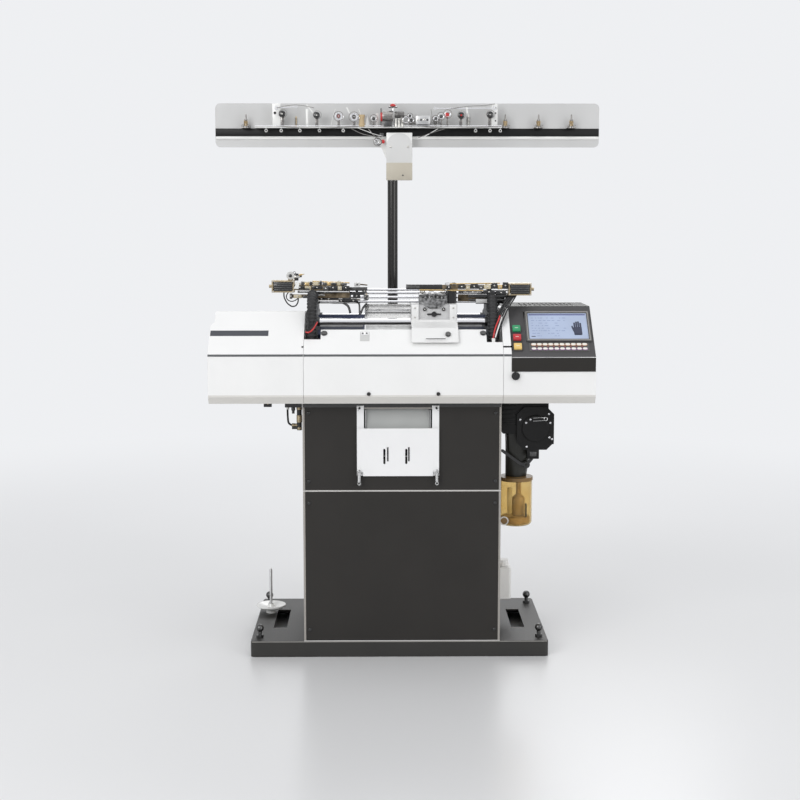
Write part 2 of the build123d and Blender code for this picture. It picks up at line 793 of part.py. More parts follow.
# Tray on the cabinet: carries the mechanism, its rim takes the cover screws
tray_left_x = left_end_x + tray_inset_x
tray_right_x = right_end_x - tray_inset_x
tray_centre = ((tray_left_x + tray_right_x) / 2, (tray_front_y + tray_back_y) / 2)
tray_size = (tray_right_x - tray_left_x, tray_back_y - tray_front_y)
with BuildPart() as body_tray:
    with BuildSketch(Plane.XY.offset(floor_z)):
        with Locations(tray_centre):
            Rectangle(*tray_size)
    extrude(amount=tray_rim)
    with BuildSketch(Plane.XY.offset(tray_z)):
        with Locations(tray_centre):
            Rectangle(tray_size[0] - 2 * tray_sheet, tray_size[1] - 2 * tray_sheet)
    extrude(amount=tray_rim, mode=Mode.SUBTRACT)
    with BuildSketch(Plane.XY.offset(tray_z)):
        with Locations((chute_centre_x, drop_centre_y)):
            RectangleRounded(drop_width, drop_depth, base_bevel)
    extrude(amount=-tray_sheet, mode=Mode.SUBTRACT)
    with BuildSketch(upright(tray_front_y)):
        with Locations(*[(x, cover_screw_z) for x in cover_screw_x]):
            Circle(screw_shank + 1)
    extrude(amount=tray_inset_y - cover_sheet)
    with BuildSketch(upright(body_front_y)):
        with Locations(*[(x, cover_screw_z) for x in cover_screw_x]):
            Circle(screw_shank / 2 + fit_gap)
    extrude(amount=-(tray_inset_y + tray_sheet), mode=Mode.SUBTRACT)
body_tray.part.label = "body_tray"

# Sheet screws: those of panels and chute, two low on the front cover, two on its slope
with BuildPart() as sheet_screws:
    add(panel_screws.part)
    add(chute_screws.part)
    with BuildSketch(upright(body_front_y)):
        with Locations(*[(x, cover_screw_z) for x in cover_screw_x]):
            Circle(screw_head / 2)
    extrude(amount=screw_height)
    with BuildSketch(upright(body_front_y)):
        with Locations(*[(x, cover_screw_z) for x in cover_screw_x]):
            Circle(screw_shank / 2)
    extrude(amount=-(tray_inset_y + tray_sheet))
    with BuildSketch(slope_plane_face):
        with Locations(*[(x, 0) for x in slope_screw_x]):
            Circle(screw_head / 2 + 2)
    extrude(amount=screw_height + 1)
    with BuildSketch(slope_plane_face):
        with Locations(*[(x, 0) for x in slope_screw_x]):
            Circle(screw_shank / 2)
    extrude(amount=-2 * cover_sheet)
sheet_screws.part.label = "sheet_screws"

# Side bars of a needle bed: two dark bars between the end brackets, tied by ribs under the bed
bar_left_x = bracket_left_x + bracket_thickness
bar_right_x = bracket_right_x


def bar_section(first, last, top, bottom):
    """Corners of a strip that lies along the bed slope."""
    return [
        bed_point(first, top),
        bed_point(last, top),
        bed_point(last, bottom),
        bed_point(first, bottom),
    ]


mirror_plane = Plane.XZ.offset(-trick_y)
with BuildPart() as bed_bars:
    for first in (upper_bar_at, lower_bar_at):
        with BuildSketch(Plane.YZ.offset(bar_left_x)):
            with BuildLine():
                Polyline(
                    *bar_section(first, first + bar_width, -bed_thickness, -bed_thickness - bar_thickness),
                    close=True,
                )
            make_face()
        extrude(amount=bar_right_x - bar_left_x)
    for x in (bed_first_x, bed_centre_x, bed_first_x + bed_width):
        with BuildSketch(Plane.YZ.offset(x - bar_thickness / 2)):
            with BuildLine():
                Polyline(
                    *bar_section(
                        upper_bar_at + bar_width / 2,
                        lower_bar_at + bar_width / 2,
                        -bed_thickness,
                        -bed_thickness - bar_thickness,
                    ),
                    close=True,
                )
            make_face()
        extrude(amount=bar_thickness)
    mirror(about=mirror_plane)
bed_bars.part.label = "bed_bars"

# Needle beds: ground steel plates with one slot for each needle, a presser strip across each
bed_top = Plane(
    origin=(bed_centre_x, *bed_point(bed_length / 2, 0)),
    x_dir=(1, 0, 0),
    z_dir=(0, -bed_sin, bed_cos),
)
with BuildPart() as needle_beds:
    with BuildSketch(bed_top):
        Rectangle(bed_width + 2 * needle_pitch, bed_length)
    extrude(amount=-bed_thickness)
    with BuildSketch(bed_top):
        with GridLocations(needle_pitch, 0, needle_count, 1):
            Rectangle(needle_slot, bed_length)
    extrude(amount=-needle_slot_depth, mode=Mode.SUBTRACT)
    with BuildSketch(Plane.YZ.offset(bed_first_x - 2 * needle_pitch)):
        with Locations((trick_y - trick_gap / 2 + bed_thickness, trick_z)):
            Rectangle(2 * bed_thickness, 4 * bed_thickness)
    extrude(amount=bed_width + 4 * needle_pitch, mode=Mode.SUBTRACT)
    with BuildSketch(Plane.YZ.offset(bed_first_x - needle_pitch)):
        with BuildLine():
            Polyline(*bar_section(presser_at, presser_at + presser_width, presser_height, 0), close=True)
        make_face()
    extrude(amount=bed_width + 2 * needle_pitch)
    mirror(about=mirror_plane)
needle_beds.part.label = "needle_beds"

# Needles: one thin blade in each slot, its butt standing up and its hook over the trick
butt_at = 84.0
butt_length = 5.0
butt_rise = 4.0
hook_reach = 1.5
with BuildPart() as needles:
    with BuildSketch(Plane.YZ):
        with BuildLine():
            Polyline(
                bed_point(needle_slot_depth, -needle_slot_depth),
                bed_point(-hook_reach, -0.4),
                bed_point(butt_at, -0.4),
                bed_point(butt_at, butt_rise),
                bed_point(butt_at + butt_length, butt_rise),
                bed_point(butt_at + butt_length, -needle_slot_depth),
                close=True,
            )
        make_face()
    needle_profile = needles.pending_faces[0]
    for index in range(needle_count):
        x = bed_centre_x + (index - (needle_count - 1) / 2) * needle_pitch - needle_thickness / 2
        extrude(needle_profile.moved(Location((x, 0, 0))), amount=needle_thickness)
    needles.pending_faces.clear()
    mirror(about=mirror_plane)
needles.part.label = "needles"

# End brackets: cast cheeks on the tray that carry bars, rods and feeder rails
bracket_front_y = trick_y - rod_offset_y - rod_diameter / 2 - 6
bracket_back_y = 2 * trick_y - bracket_front_y
bracket_top_z = 1110.0
shoulder_z = rod_z + rod_diameter / 2 + 8
rail_points = [(trick_y - 28, 1063.8), (trick_y - 10, 1076.0), (trick_y + 10, 1088.3), (trick_y + 28, 1096.8)]
rod_points = [(trick_y - rod_offset_y, rod_z), (trick_y + rod_offset_y, rod_z)]


def end_bracket(start_x):
    """Cast cheek from the tray to above the feeder rails, bored for rods and rails."""
    with BuildPart() as cheek:
        with BuildSketch(Plane.YZ.offset(start_x)):
            with BuildLine():
                Polyline(
                    (bracket_front_y, tray_z),
                    (bracket_front_y, shoulder_z),
                    (trick_y - 60, shoulder_z + 12),
                    (trick_y - 44, bracket_top_z),
                    (trick_y + 44, bracket_top_z),
                    (trick_y + 60, shoulder_z + 12),
                    (bracket_back_y, shoulder_z),
                    (bracket_back_y, tray_z),
                    close=True,
                )
            make_face()
            with Locations((trick_y, tray_z + 66)):
                RectangleRounded(130, 92, 14, mode=Mode.SUBTRACT)
            with Locations(*rod_points):
                Circle(rod_diameter / 2 + fit_gap, mode=Mode.SUBTRACT)
            with Locations(*rail_points):
                Circle(rail_diameter / 2 + fit_gap, mode=Mode.SUBTRACT)
        extrude(amount=bracket_thickness)
        fillet(cheek.edges().filter_by(Axis.X).group_by(Axis.Z)[-1], 8)
        for y in (bracket_front_y + 12, bracket_back_y - 12):
            with BuildSketch(Plane.XY.offset(tray_z)):
                with Locations((start_x + bracket_thickness / 2, y)):
                    RectangleRounded(bracket_thickness + 28, 24, 4)
            extrude(amount=10)
    return cheek


with BuildPart() as end_brackets:
    add(end_bracket(bracket_left_x).part)
    add(end_bracket(bracket_right_x).part)
end_brackets.part.label = "end_brackets"

# Guide rods: two chromed rods for the carriage, four rails in steps over the beds for the feeders
rod_start_x = bracket_left_x - 8
rod_length = bracket_right_x + bracket_thickness + 8 - rod_start_x
with BuildPart() as guide_rods:
    with BuildSketch(Plane.YZ.offset(rod_start_x)):
        with Locations(*rod_points):
            Circle(rod_diameter / 2)
        with Locations(*rail_points):
            Circle(rail_diameter / 2)
    extrude(amount=rod_length)
guide_rods.part.label = "guide_rods"

# Carriage saddles: castings that run on the rods over the beds, the front one with the belt clamp
carriage_left_x = carriage_x - carriage_width / 2
rod_y = trick_y - rod_offset_y
saddle_front_y = rod_y - saddle_reach
window_width = 90.0
window_depth = 6.0
saddle_outline = [
    (saddle_front_y, rod_z - rod_diameter / 2 - 2),
    (saddle_front_y, saddle_top_z),
    (trick_y - 60, saddle_top_z),
    (trick_y - 36, saddle_top_z - 12),
    bed_point(25, cam_gap),
    bed_point(bed_length - 4, cam_gap),
    (rod_y - 7, rod_z - rod_diameter / 2 - 8),
]
screw_spread = 56.0
lever_z = 1031.0
belt_top_z = pulley_z + pulley_radius + belt_thickness
clamp_x = carriage_left_x + 20
clamp_width = 40.0
clamp_jaw = 8.0
clamp_front_y = belt_y - belt_width / 2 - 3
clamp_back_y = belt_y + belt_width / 2 + 5
clamp_top_z = rod_z - rod_diameter / 2 - 2
with BuildPart() as carriage_saddles:
    with BuildSketch(Plane.YZ.offset(carriage_left_x)):
        with BuildLine():
            Polyline(*saddle_outline, close=True)
        make_face()
        with Locations((rod_y, rod_z)):
            Circle(rod_diameter / 2 + run_gap, mode=Mode.SUBTRACT)
    extrude(amount=carriage_width)
    mirror(about=mirror_plane)
    with BuildSketch(upright(saddle_front_y)):
        with Locations((carriage_x, saddle_top_z - 22)):
            Rectangle(window_width, 44)
    extrude(amount=-window_depth, mode=Mode.SUBTRACT)
    with BuildSketch(upright(saddle_front_y + window_depth)):
        with Locations(*[(carriage_x + side * screw_spread / 2, saddle_top_z - 16) for side in (-1, 1)]):
            Circle(4.5)
    extrude(amount=4)
    with BuildSketch(upright(saddle_front_y + window_depth)):
        with Locations((carriage_x, lever_z)):
            Circle(3 + run_gap)
    extrude(amount=-14, mode=Mode.SUBTRACT)
    with BuildSketch(Plane.YZ.offset(clamp_x)):
        with BuildLine():
            Polyline(
                (clamp_back_y, clamp_top_z),
                (clamp_front_y, clamp_top_z - 30),
                (clamp_front_y, belt_top_z - belt_thickness - clamp_jaw),
                (clamp_back_y, belt_top_z - belt_thickness - clamp_jaw),
                (clamp_back_y, belt_top_z + clamp_jaw),
                (clamp_back_y + clamp_jaw, belt_top_z + 4 * clamp_jaw),
                (clamp_back_y + 2 * clamp_jaw, clamp_top_z),
                close=True,
            )
        make_face()
        with Locations((belt_y, belt_top_z - belt_thickness / 2)):
            Rectangle(belt_width + 2 * move_gap, belt_thickness + 2 * move_gap, mode=Mode.SUBTRACT)
    extrude(amount=clamp_width)
carriage_saddles.part.label = "carriage_saddles"

# Cast head on the saddle: ribbed block that tapers down over the recess
head_left_x = carriage_x - head_width / 2 - 3
head_back_y = trick_y - 48
head_front_y = saddle_front_y + 12
with BuildPart() as carriage_head:
    with BuildSketch(upright(head_back_y)):
        with BuildLine():
            Polyline(
                (head_left_x, saddle_top_z),
                (head_left_x, saddle_top_z + head_height - 4),
                (head_left_x + 18, saddle_top_z + head_height),
                (head_left_x + head_width - 18, saddle_top_z + head_height),
                (head_left_x + head_width, saddle_top_z + head_height - 8),
                (head_left_x + head_width, saddle_top_z),
                close=True,
            )
        make_face()
    extrude(amount=head_back_y - head_front_y)
    with BuildSketch(upright(head_front_y)):
        with Locations((head_left_x + head_width / 2, saddle_top_z + head_height - 7)):
            SlotOverall(head_width * 0.45, 5)
    extrude(amount=-10, mode=Mode.SUBTRACT)
    with BuildSketch(Plane.XY.offset(saddle_top_z + head_height)):
        with Locations((head_left_x + head_width / 2, (head_back_y + head_front_y) / 2)):
            with GridLocations(head_width / 4.4, 0, 4, 1):
                Rectangle(head_width / 9, (head_back_y - head_front_y) * 0.6)
    extrude(amount=-head_height * 0.5, mode=Mode.SUBTRACT)
    with BuildSketch(upright(saddle_front_y + window_depth)):
        with BuildLine():
            Polyline(
                (head_left_x + 6, saddle_top_z),
                (head_left_x + head_width - 6, saddle_top_z),
                (carriage_x + 14, saddle_top_z - 14),
                (carriage_x - 14, saddle_top_z - 14),
                close=True,
            )
        make_face()
    extrude(amount=window_depth - 1)
    with BuildSketch(upright(head_front_y)):
        with BuildLine():
            Polyline(
                (head_left_x, saddle_top_z),
                (head_left_x, saddle_top_z + head_height - 12),
                (head_left_x + head_width, saddle_top_z + head_height - 16),
                (head_left_x + head_width, saddle_top_z),
                close=True,
            )
        make_face()
    extrude(amount=head_front_y - saddle_front_y - 1)
carriage_head.part.label = "carriage_head"

# Bow: black arch that ties the front and rear saddles over the feeder rails
bow_left_x = carriage_left_x + carriage_width - bow_width
bow_leg = 18.0
bow_front_y = trick_y - 92
bow_back_y = 2 * trick_y - bow_front_y
bow_height = bow_top_z - saddle_top_z
with BuildPart() as carriage_bow:
    with BuildSketch(Plane.YZ.offset(bow_left_x)):
        with Locations((trick_y, saddle_top_z + bow_height / 2)):
            Rectangle(bow_back_y - bow_front_y, bow_height)
        with Locations((trick_y, saddle_top_z + (bow_height - bow_thickness) / 2)):
            Rectangle(bow_back_y - bow_front_y - 2 * bow_leg, bow_height - bow_thickness, mode=Mode.SUBTRACT)
    extrude(amount=bow_width)
    fillet(carriage_bow.edges().filter_by(Axis.X).group_by(Axis.Z)[-1], 14)
    fillet(carriage_bow.edges().filter_by(Axis.Y).group_by(Axis.Z)[-1], 5)
carriage_bow.part.label = "carriage_bow"

# Apron: white sheet from the saddle down over the slope of the front cover
apron_fold_y = slope_point(front_lip_run, apron_gap)[0] - 2
apron_fold_z = slope_point(front_lip_run, apron_gap)[1] - 2
apron_end_y, apron_end_z = slope_point(28, apron_gap)
apron_top_z = rod_z + 2
thumb_run = 50.0
thumb_x = carriage_x + 38
thumb_y, thumb_z = slope_point(thumb_run, apron_gap)
thumb_plane = Plane(origin=(thumb_x, thumb_y, thumb_z), x_dir=(1, 0, 0), z_dir=(0, -slope_sin, slope_cos))
with BuildPart() as carriage_apron:
    with BuildSketch(Plane.YZ.offset(carriage_left_x)):
        with BuildLine():
            Polyline(
                (saddle_front_y - 1, apron_top_z),
                (apron_fold_y, apron_fold_z),
                (apron_end_y, apron_end_z),
            )
            offset(amount=apron_sheet, side=Side.LEFT, kind=Kind.INTERSECTION)
        make_face()
    extrude(amount=carriage_width)
    with BuildSketch(upright(saddle_front_y)):
        with Locations((carriage_x, apron_top_z)):
            Rectangle(carriage_width, 9)
    extrude(amount=apron_sheet)
    with BuildSketch(thumb_plane):
        Circle(2.5 + run_gap)
    extrude(amount=-2 * apron_sheet, both=True, mode=Mode.SUBTRACT)
carriage_apron.part.label = "carriage_apron"

# Cam lever in the recess of the saddle: a flat handle on a short pivot
lever_y = saddle_front_y + window_depth
with BuildPart() as cam_lever:
    with BuildSketch(upright(lever_y - move_gap)):
        with Locations((carriage_x, lever_z)):
            Circle(8)
            SlotOverall(42, 5)
    extrude(amount=4)
    with BuildSketch(upright(lever_y - move_gap)):
        with Locations((carriage_x, lever_z)):
            Circle(3)
    extrude(amount=-12)
cam_lever.part.label = "cam_lever"

# Thumb screw on the apron
with BuildPart() as apron_thumb_screw:
    with BuildSketch(thumb_plane.offset(move_gap)):
        RegularPolygon(8, 12)
    extrude(amount=7)
    chamfer(apron_thumb_screw.faces().sort_by(Axis(thumb_plane.origin, thumb_plane.z_dir))[-1].edges(), 1)
    with BuildSketch(thumb_plane.offset(move_gap)):
        Circle(2.5)
    extrude(amount=-4.5)
apron_thumb_screw.part.label = "apron_thumb_screw"

# Idler post on the tray with the pin of its pulley
with BuildPart() as idler_post:
    with BuildSketch(upright(belt_y + belt_width / 2 + 16)):
        with Locations((idler_x, (tray_z + pulley_z + 22) / 2)):
            RectangleRounded(52, pulley_z + 22 - tray_z, 8)
    extrude(amount=12)
    with BuildSketch(Plane.XY.offset(tray_z)):
        with Locations((idler_x, belt_y + belt_width / 2 + 34)):
            Rectangle(52, 60)
    extrude(amount=8)
    with BuildSketch(upright(belt_y + belt_width / 2 + 5)):
        with Locations((idler_x, pulley_z)):
            Circle(6)
    extrude(amount=belt_width + 12)

# Carriage drive: ribbed square motor on its bracket, with the idler post at the other end
bracket_plate = 8.0
motor_front_y = belt_y + belt_width / 2 + 16
with BuildPart() as carriage_drive:
    with BuildSketch(upright(motor_front_y)):
        with Locations((drive_x, pulley_z)):
            RectangleRounded(motor_size, motor_size, 8)
    extrude(amount=-motor_length)
    with BuildSketch(upright(motor_front_y - 3)):
        with Locations((drive_x, pulley_z)):
            Circle(motor_size * 0.36)
    extrude(amount=-3)
    with BuildSketch(upright(motor_front_y + 22)):
        with Locations((drive_x, pulley_z)):
            RectangleRounded(motor_size + 2, motor_size + 2, 8)
            RectangleRounded(motor_size - 5, motor_size - 5, 8, mode=Mode.SUBTRACT)
    extrude(amount=-(motor_length - 40), mode=Mode.SUBTRACT)
    with BuildSketch(upright(motor_front_y)):
        with Locations((drive_x, (tray_z + pulley_z + motor_size / 2 + 6) / 2)):
            RectangleRounded(motor_size + 4, pulley_z + motor_size / 2 + 6 - tray_z, 6)
        with Locations((drive_x, pulley_z)):
            Circle(motor_size * 0.36 + fit_gap, mode=Mode.SUBTRACT)
    extrude(amount=bracket_plate)
    with BuildSketch(Plane.XY.offset(tray_z)):
        with Locations((drive_x, motor_front_y - bracket_plate / 2 + 30)):
            Rectangle(motor_size + 4, bracket_plate + 60)
    extrude(amount=8)
    add(idler_post.part)
carriage_drive.part.label = "carriage_drive"

# Drive pulley on the motor shaft, with its flanges and shaft in one
flange_lift = 2.5
with BuildPart() as drive_pulley:
    with BuildSketch(upright(belt_y + belt_width / 2 + 1)):
        with Locations((drive_x, pulley_z)):
            Circle(pulley_radius - move_gap)
    extrude(amount=belt_width + 2)
    for y in (belt_y + belt_width / 2 + 3, belt_y - belt_width / 2 - 1):
        with BuildSketch(upright(y)):
            with Locations((drive_x, pulley_z)):
                Circle(pulley_radius + flange_lift)
        extrude(amount=2)
    with BuildSketch(upright(motor_front_y - bracket_plate + 4)):
        with Locations((drive_x, pulley_z)):
            Circle(7)
    extrude(amount=motor_front_y - bracket_plate + 4 - belt_y + belt_width / 2 + 6)
drive_pulley.part.label = "drive_pulley"

# Idler: pulley on a pin in an upright post at the left end
with BuildPart() as idler_pulley:
    with BuildSketch(upright(belt_y + belt_width / 2 + 1)):
        with Locations((idler_x, pulley_z)):
            Circle(pulley_radius - move_gap)
    extrude(amount=belt_width + 2)
    for y in (belt_y + belt_width / 2 + 3, belt_y - belt_width / 2 - 1):
        with BuildSketch(upright(y)):
            with Locations((idler_x, pulley_z)):
                Circle(pulley_radius + flange_lift)
        extrude(amount=2)
    with BuildSketch(upright(belt_y + belt_width)):
        with Locations((idler_x, pulley_z)):
            Circle(6 + run_gap)
    extrude(amount=2 * belt_width, mode=Mode.SUBTRACT)
idler_pulley.part.label = "idler_pulley"

# Toothed belt: closed loop around both pulleys
with BuildPart() as drive_belt:
    with BuildSketch(upright(belt_y + belt_width / 2)):
        with Locations(((idler_x + drive_x) / 2, pulley_z)):
            SlotCenterToCenter(drive_x - idler_x, 2 * (pulley_radius + belt_thickness))
            SlotCenterToCenter(drive_x - idler_x, 2 * pulley_radius, mode=Mode.SUBTRACT)
    extrude(amount=belt_width)
drive_belt.part.label = "drive_belt"

# Glove funnel: tapered sheet duct from the trick down through the tray
funnel_top_z = trick_z - 96
with BuildPart() as glove_funnel:
    add(glove_slide.part)
    with BuildSketch(Plane.XY.offset(funnel_top_z)):
        with Locations((bed_centre_x, trick_y)):
            RectangleRounded(bed_width - 20, 44, 6)
    with BuildSketch(Plane.XY.offset(tray_z)):
        with Locations((chute_centre_x, drop_centre_y)):
            RectangleRounded(drop_width + 12, drop_depth - 10, 6)
    loft()
    with BuildSketch(Plane.XY.offset(funnel_top_z)):
        with Locations((bed_centre_x, trick_y)):
            RectangleRounded(bed_width - 24, 40, 4)
    with BuildSketch(Plane.XY.offset(tray_z)):
        with Locations((chute_centre_x, drop_centre_y)):
            RectangleRounded(drop_width + 8, drop_depth - 14, 4)
    loft(mode=Mode.SUBTRACT)
glove_funnel.part.label = "glove_funnel"


# Yarn feeder: block on its rail, arm down to the trick and a nozzle
feeder_width = 16.0
feeder_block = 15.0


def yarn_feeder(x, rail, tip_y):
    """Feeder at X on one rail, its arm kept clear of the rails in front and behind."""
    rail_y, rail_z = rail_points[rail]
    with BuildPart() as feeder:
        with BuildSketch(Plane.YZ.offset(x - feeder_width / 2)):
            with Locations((rail_y, rail_z)):
                RectangleRounded(feeder_block, feeder_block, 2)
            with Locations((rail_y, rail_z)):
                Circle(rail_diameter / 2 + run_gap, mode=Mode.SUBTRACT)
        extrude(amount=feeder_width)
        with BuildSketch(Plane.YZ.offset(x - 5)):
            with BuildLine():
                Polyline(
                    (rail_y - 2, rail_z - feeder_block / 2 + 1),
                    (rail_y + 2, rail_z - feeder_block / 2 + 1),
                    (tip_y + 1.5, trick_z + 12),
                    (tip_y + 1.0, trick_z + 4),
                    (tip_y - 1.0, trick_z + 4),
                    (tip_y - 1.5, trick_z + 12),
                    close=True,
                )
            make_face()
        extrude(amount=10)
    return feeder


feeder_places = [(-100.0, 1, trick_y - 6), (72.0, 2, trick_y), (100.0, 3, trick_y + 7)]
feeder_left = yarn_feeder(*feeder_places[0])
feeder_left.part.label = "feeder_left"
feeder_middle = yarn_feeder(*feeder_places[1])
feeder_middle.part.label = "feeder_middle"
feeder_right = yarn_feeder(*feeder_places[2])
feeder_right.part.label = "feeder_right"

# Side arms: bars and foot plates on top of the end brackets, left and right of the beds
arm_bar_y = trick_y - 65
arm_back_y = trick_y - 46.5
arm_foot = 6.0
left_bar_start_x = -316.0
left_bar_end_x = -165.0
left_plate_end_x = -150.0
clamp_bar_end_x = -118.0
right_bar_start_x = 22.0
right_bar_end_x = 325.0
right_bar_y = trick_y - 115
right_bar_depth = 10.0
right_plate_start_x = 178.0
bracket_inner_x = bracket_left_x + bracket_thickness


def box_between(first, last):
    """Box between two opposite corners, added to the open part."""
    size = [abs(b - a) for a, b in zip(first, last)]
    with Locations(tuple((a + b) / 2 for a, b in zip(first, last))):
        Box(*size)


with BuildPart() as side_arms:
    box_between((left_bar_start_x, arm_bar_y, 1100), (left_bar_end_x, arm_back_y, bracket_top_z + arm_foot))
    box_between((bracket_left_x, arm_bar_y, bracket_top_z), (bracket_inner_x, trick_y, bracket_top_z + arm_foot))
    box_between((left_bar_start_x - 9, arm_bar_y, 1077), (bracket_inner_x + 10, arm_bar_y + 12, 1087))
    box_between((bracket_left_x, arm_bar_y, 1087), (bracket_inner_x, arm_bar_y + 11, 1100))
    box_between((bracket_inner_x + 1, arm_back_y, 1076), (left_plate_end_x, arm_back_y + 6, 1108))
    box_between((bracket_inner_x, trick_y - 20, trick_z + 3), (clamp_bar_end_x, trick_y, trick_z + 16))
    box_between(
        (right_bar_start_x, right_bar_y, bracket_top_z - 4),
        (right_bar_end_x, right_bar_y + right_bar_depth, bracket_top_z + 8),
    )
    box_between(
        (bracket_right_x, right_bar_y + 2, bracket_top_z),
        (bracket_right_x + bracket_thickness, trick_y, bracket_top_z + 8),
    )
    box_between((right_plate_start_x, arm_back_y, saddle_top_z + 4), (bracket_right_x, arm_back_y + 6, 1086))
    fillet(side_arms.edges().filter_by(Axis.Y).filter_by(lambda edge: edge.length < 7), 1.5)
    with BuildSketch(upright(right_bar_y)):
        with Locations((right_bar_start_x + 141, bracket_top_z + 2)):
            Circle(13)
    extrude(amount=5)
side_arms.part.label = "side_arms"

# Solenoids on the ends of the arms: open frame, coil and plunger, the left one with a wheel lug
wheel_x = -328.0
wheel_y = -112.0
wheel_z = 1143.0
wheel_radius = 12.0
solenoid_length = 68.0
solenoid_depth = 40.0
solenoid_height = 36.0
solenoid_wall = 4.0
left_solenoid = (left_bar_start_x - solenoid_length / 2, arm_bar_y + 15, 1111.0)
right_solenoid = (right_bar_end_x + solenoid_length / 2, right_bar_y + 5, 1105.0)
with BuildPart() as solenoids:
    for (x, y, z), side in ((left_solenoid, -1), (right_solenoid, 1)):
        with BuildSketch(upright(y - solenoid_depth / 2)):
            with Locations((x, z)):
                Rectangle(solenoid_length, solenoid_height)
                Rectangle(
                    solenoid_length - 2 * solenoid_wall,
                    solenoid_height - 2 * solenoid_wall,
                    mode=Mode.SUBTRACT,
                )
        extrude(amount=-solenoid_depth)
        with BuildSketch(Plane.YZ.offset(x + side * (solenoid_length / 2 + 1) - 8)):
            with Locations((y, z)):
                Circle(5)
        extrude(amount=16)
        with BuildSketch(Plane.YZ.offset(x - solenoid_length / 2 + solenoid_wall)):
            with Locations((y, z)):
                Circle(solenoid_height / 2 - solenoid_wall - 1)
        extrude(amount=solenoid_length - 2 * solenoid_wall)
    box_between(
        (wheel_x - 8, wheel_y + 5, left_solenoid[2] + solenoid_height / 2),
        (wheel_x + 8, wheel_y + 9, wheel_z + 8),
    )
    with BuildSketch(upright(wheel_y - 7)):
        with Locations((wheel_x, wheel_z)):
            Circle(3)
    extrude(amount=-14)
solenoids.part.label = "solenoids"

# Guide wheel: grooved yarn wheel on the pin of its lug
with BuildPart() as guide_wheel:
    with BuildSketch(Plane.XY.offset(wheel_z)):
        with BuildLine():
            Polyline(
                (wheel_x + 3 + run_gap, wheel_y - 4.5),
                (wheel_x + wheel_radius, wheel_y - 4.5),
                (wheel_x + wheel_radius - 3, wheel_y),
                (wheel_x + wheel_radius, wheel_y + 4.5),
                (wheel_x + 3 + run_gap, wheel_y + 4.5),
                close=True,
            )
        make_face()
    revolve(axis=Axis((wheel_x, wheel_y, wheel_z), (0, 1, 0)))
guide_wheel.part.label = "guide_wheel"


# Cords that are held all the way: a round tube along straight runs joined by arcs
def held_tube(points, diameter):
    """Tube along the points, each bend as large as its two runs allow."""
    route = [Vector(*point) for point in points]
    radii = []
    for before, corner, after in zip(route, route[1:], route[2:]):
        turn = math.radians((corner - before).get_angle(after - corner))
        shorter = min((corner - before).length, (after - corner).length)
        radii.append(0.45 * shorter / math.tan(turn / 2))
    print("bend radii", [round(radius) for radius in radii])
    with BuildPart() as tube:
        with BuildLine():
            path = FilletPolyline(*points, radius=radii)
        with BuildSketch(Plane(origin=points[0], z_dir=path % 0)):
            Circle(diameter / 2)
        sweep()
    section = math.pi * diameter * diameter / 4
    print("tube volume over section times length", round(tube.part.volume / section / path.length, 4))
    return tube


hose_diameter = 30.0
left_hose_x = -260.0
right_hose_x = 276.0
hose_low_y = -250.0
hose_route = [(-165, 1085), (-205, 1072), (-226, 1020), (-244, 960), (hose_low_y, 870), (hose_low_y, tray_z)]
with BuildPart() as hoses:
    add(held_tube([(left_hose_x, arm_bar_y, 1085)] + [(left_hose_x, y, z) for y, z in hose_route], hose_diameter).part)
    add(held_tube([(right_hose_x, trick_y - 54, 1085)] + [(right_hose_x, y, z) for y, z in hose_route], hose_diameter).part)
hoses.part.label = "hoses"

# Cable loop from the left solenoid down and up again to the lower arm bar
loop_route = [
    (-348, -118, left_solenoid[2] - solenoid_height / 2),
    (-348, -118, 1078),
    (-338, -124, 1060),
    (-324, -124, 1050),
    (-312, -122, 1052),
    (-305, -118, 1064),
    (-305, -118, 1077),
]
control_cable = held_tube(loop_route, 4.0)
control_cable.part.label = "control_cable"

# Console: hollow housing on the right cover, with bezel, button guards and roof slots
console_front_y = body_front_y - 2
console_right_x = right_end_x - 1
console_slope = Plane(
    origin=(0, console_front_y, console_face_z), x_dir=(1, 0, 0), z_dir=(0, -slope_sin, slope_cos)
)
console_ridge_y = console_front_y + (console_top_z - console_face_z) / slope_rise
screen_x = 469.0
screen_run = 123.0
button_x = 345.0
button_runs = (111.0, 75.0, 38.0)
keypad_width = 176.0
keypad_height = 36.0
keypad_run = 40.0
guard_rim = 2.0
stem_radius = 4.0


def console_section(bottom):
    """Outline of the console in Y and Z, down to the given height."""
    return [
        (console_front_y, bottom),
        (console_front_y, console_face_z),
        (console_ridge_y, console_top_z),
        (console_back_y, console_top_z),
        (console_back_y, bottom),
    ]


with BuildPart() as console_void:
    with BuildSketch(Plane.YZ.offset(console_left_x + console_sheet)):
        with BuildLine():
            Polyline(*console_section(console_base_z - 2 * console_sheet), close=True)
        make_face()
        offset(amount=-console_sheet, kind=Kind.INTERSECTION)
    extrude(amount=console_right_x - console_left_x - 2 * console_sheet)

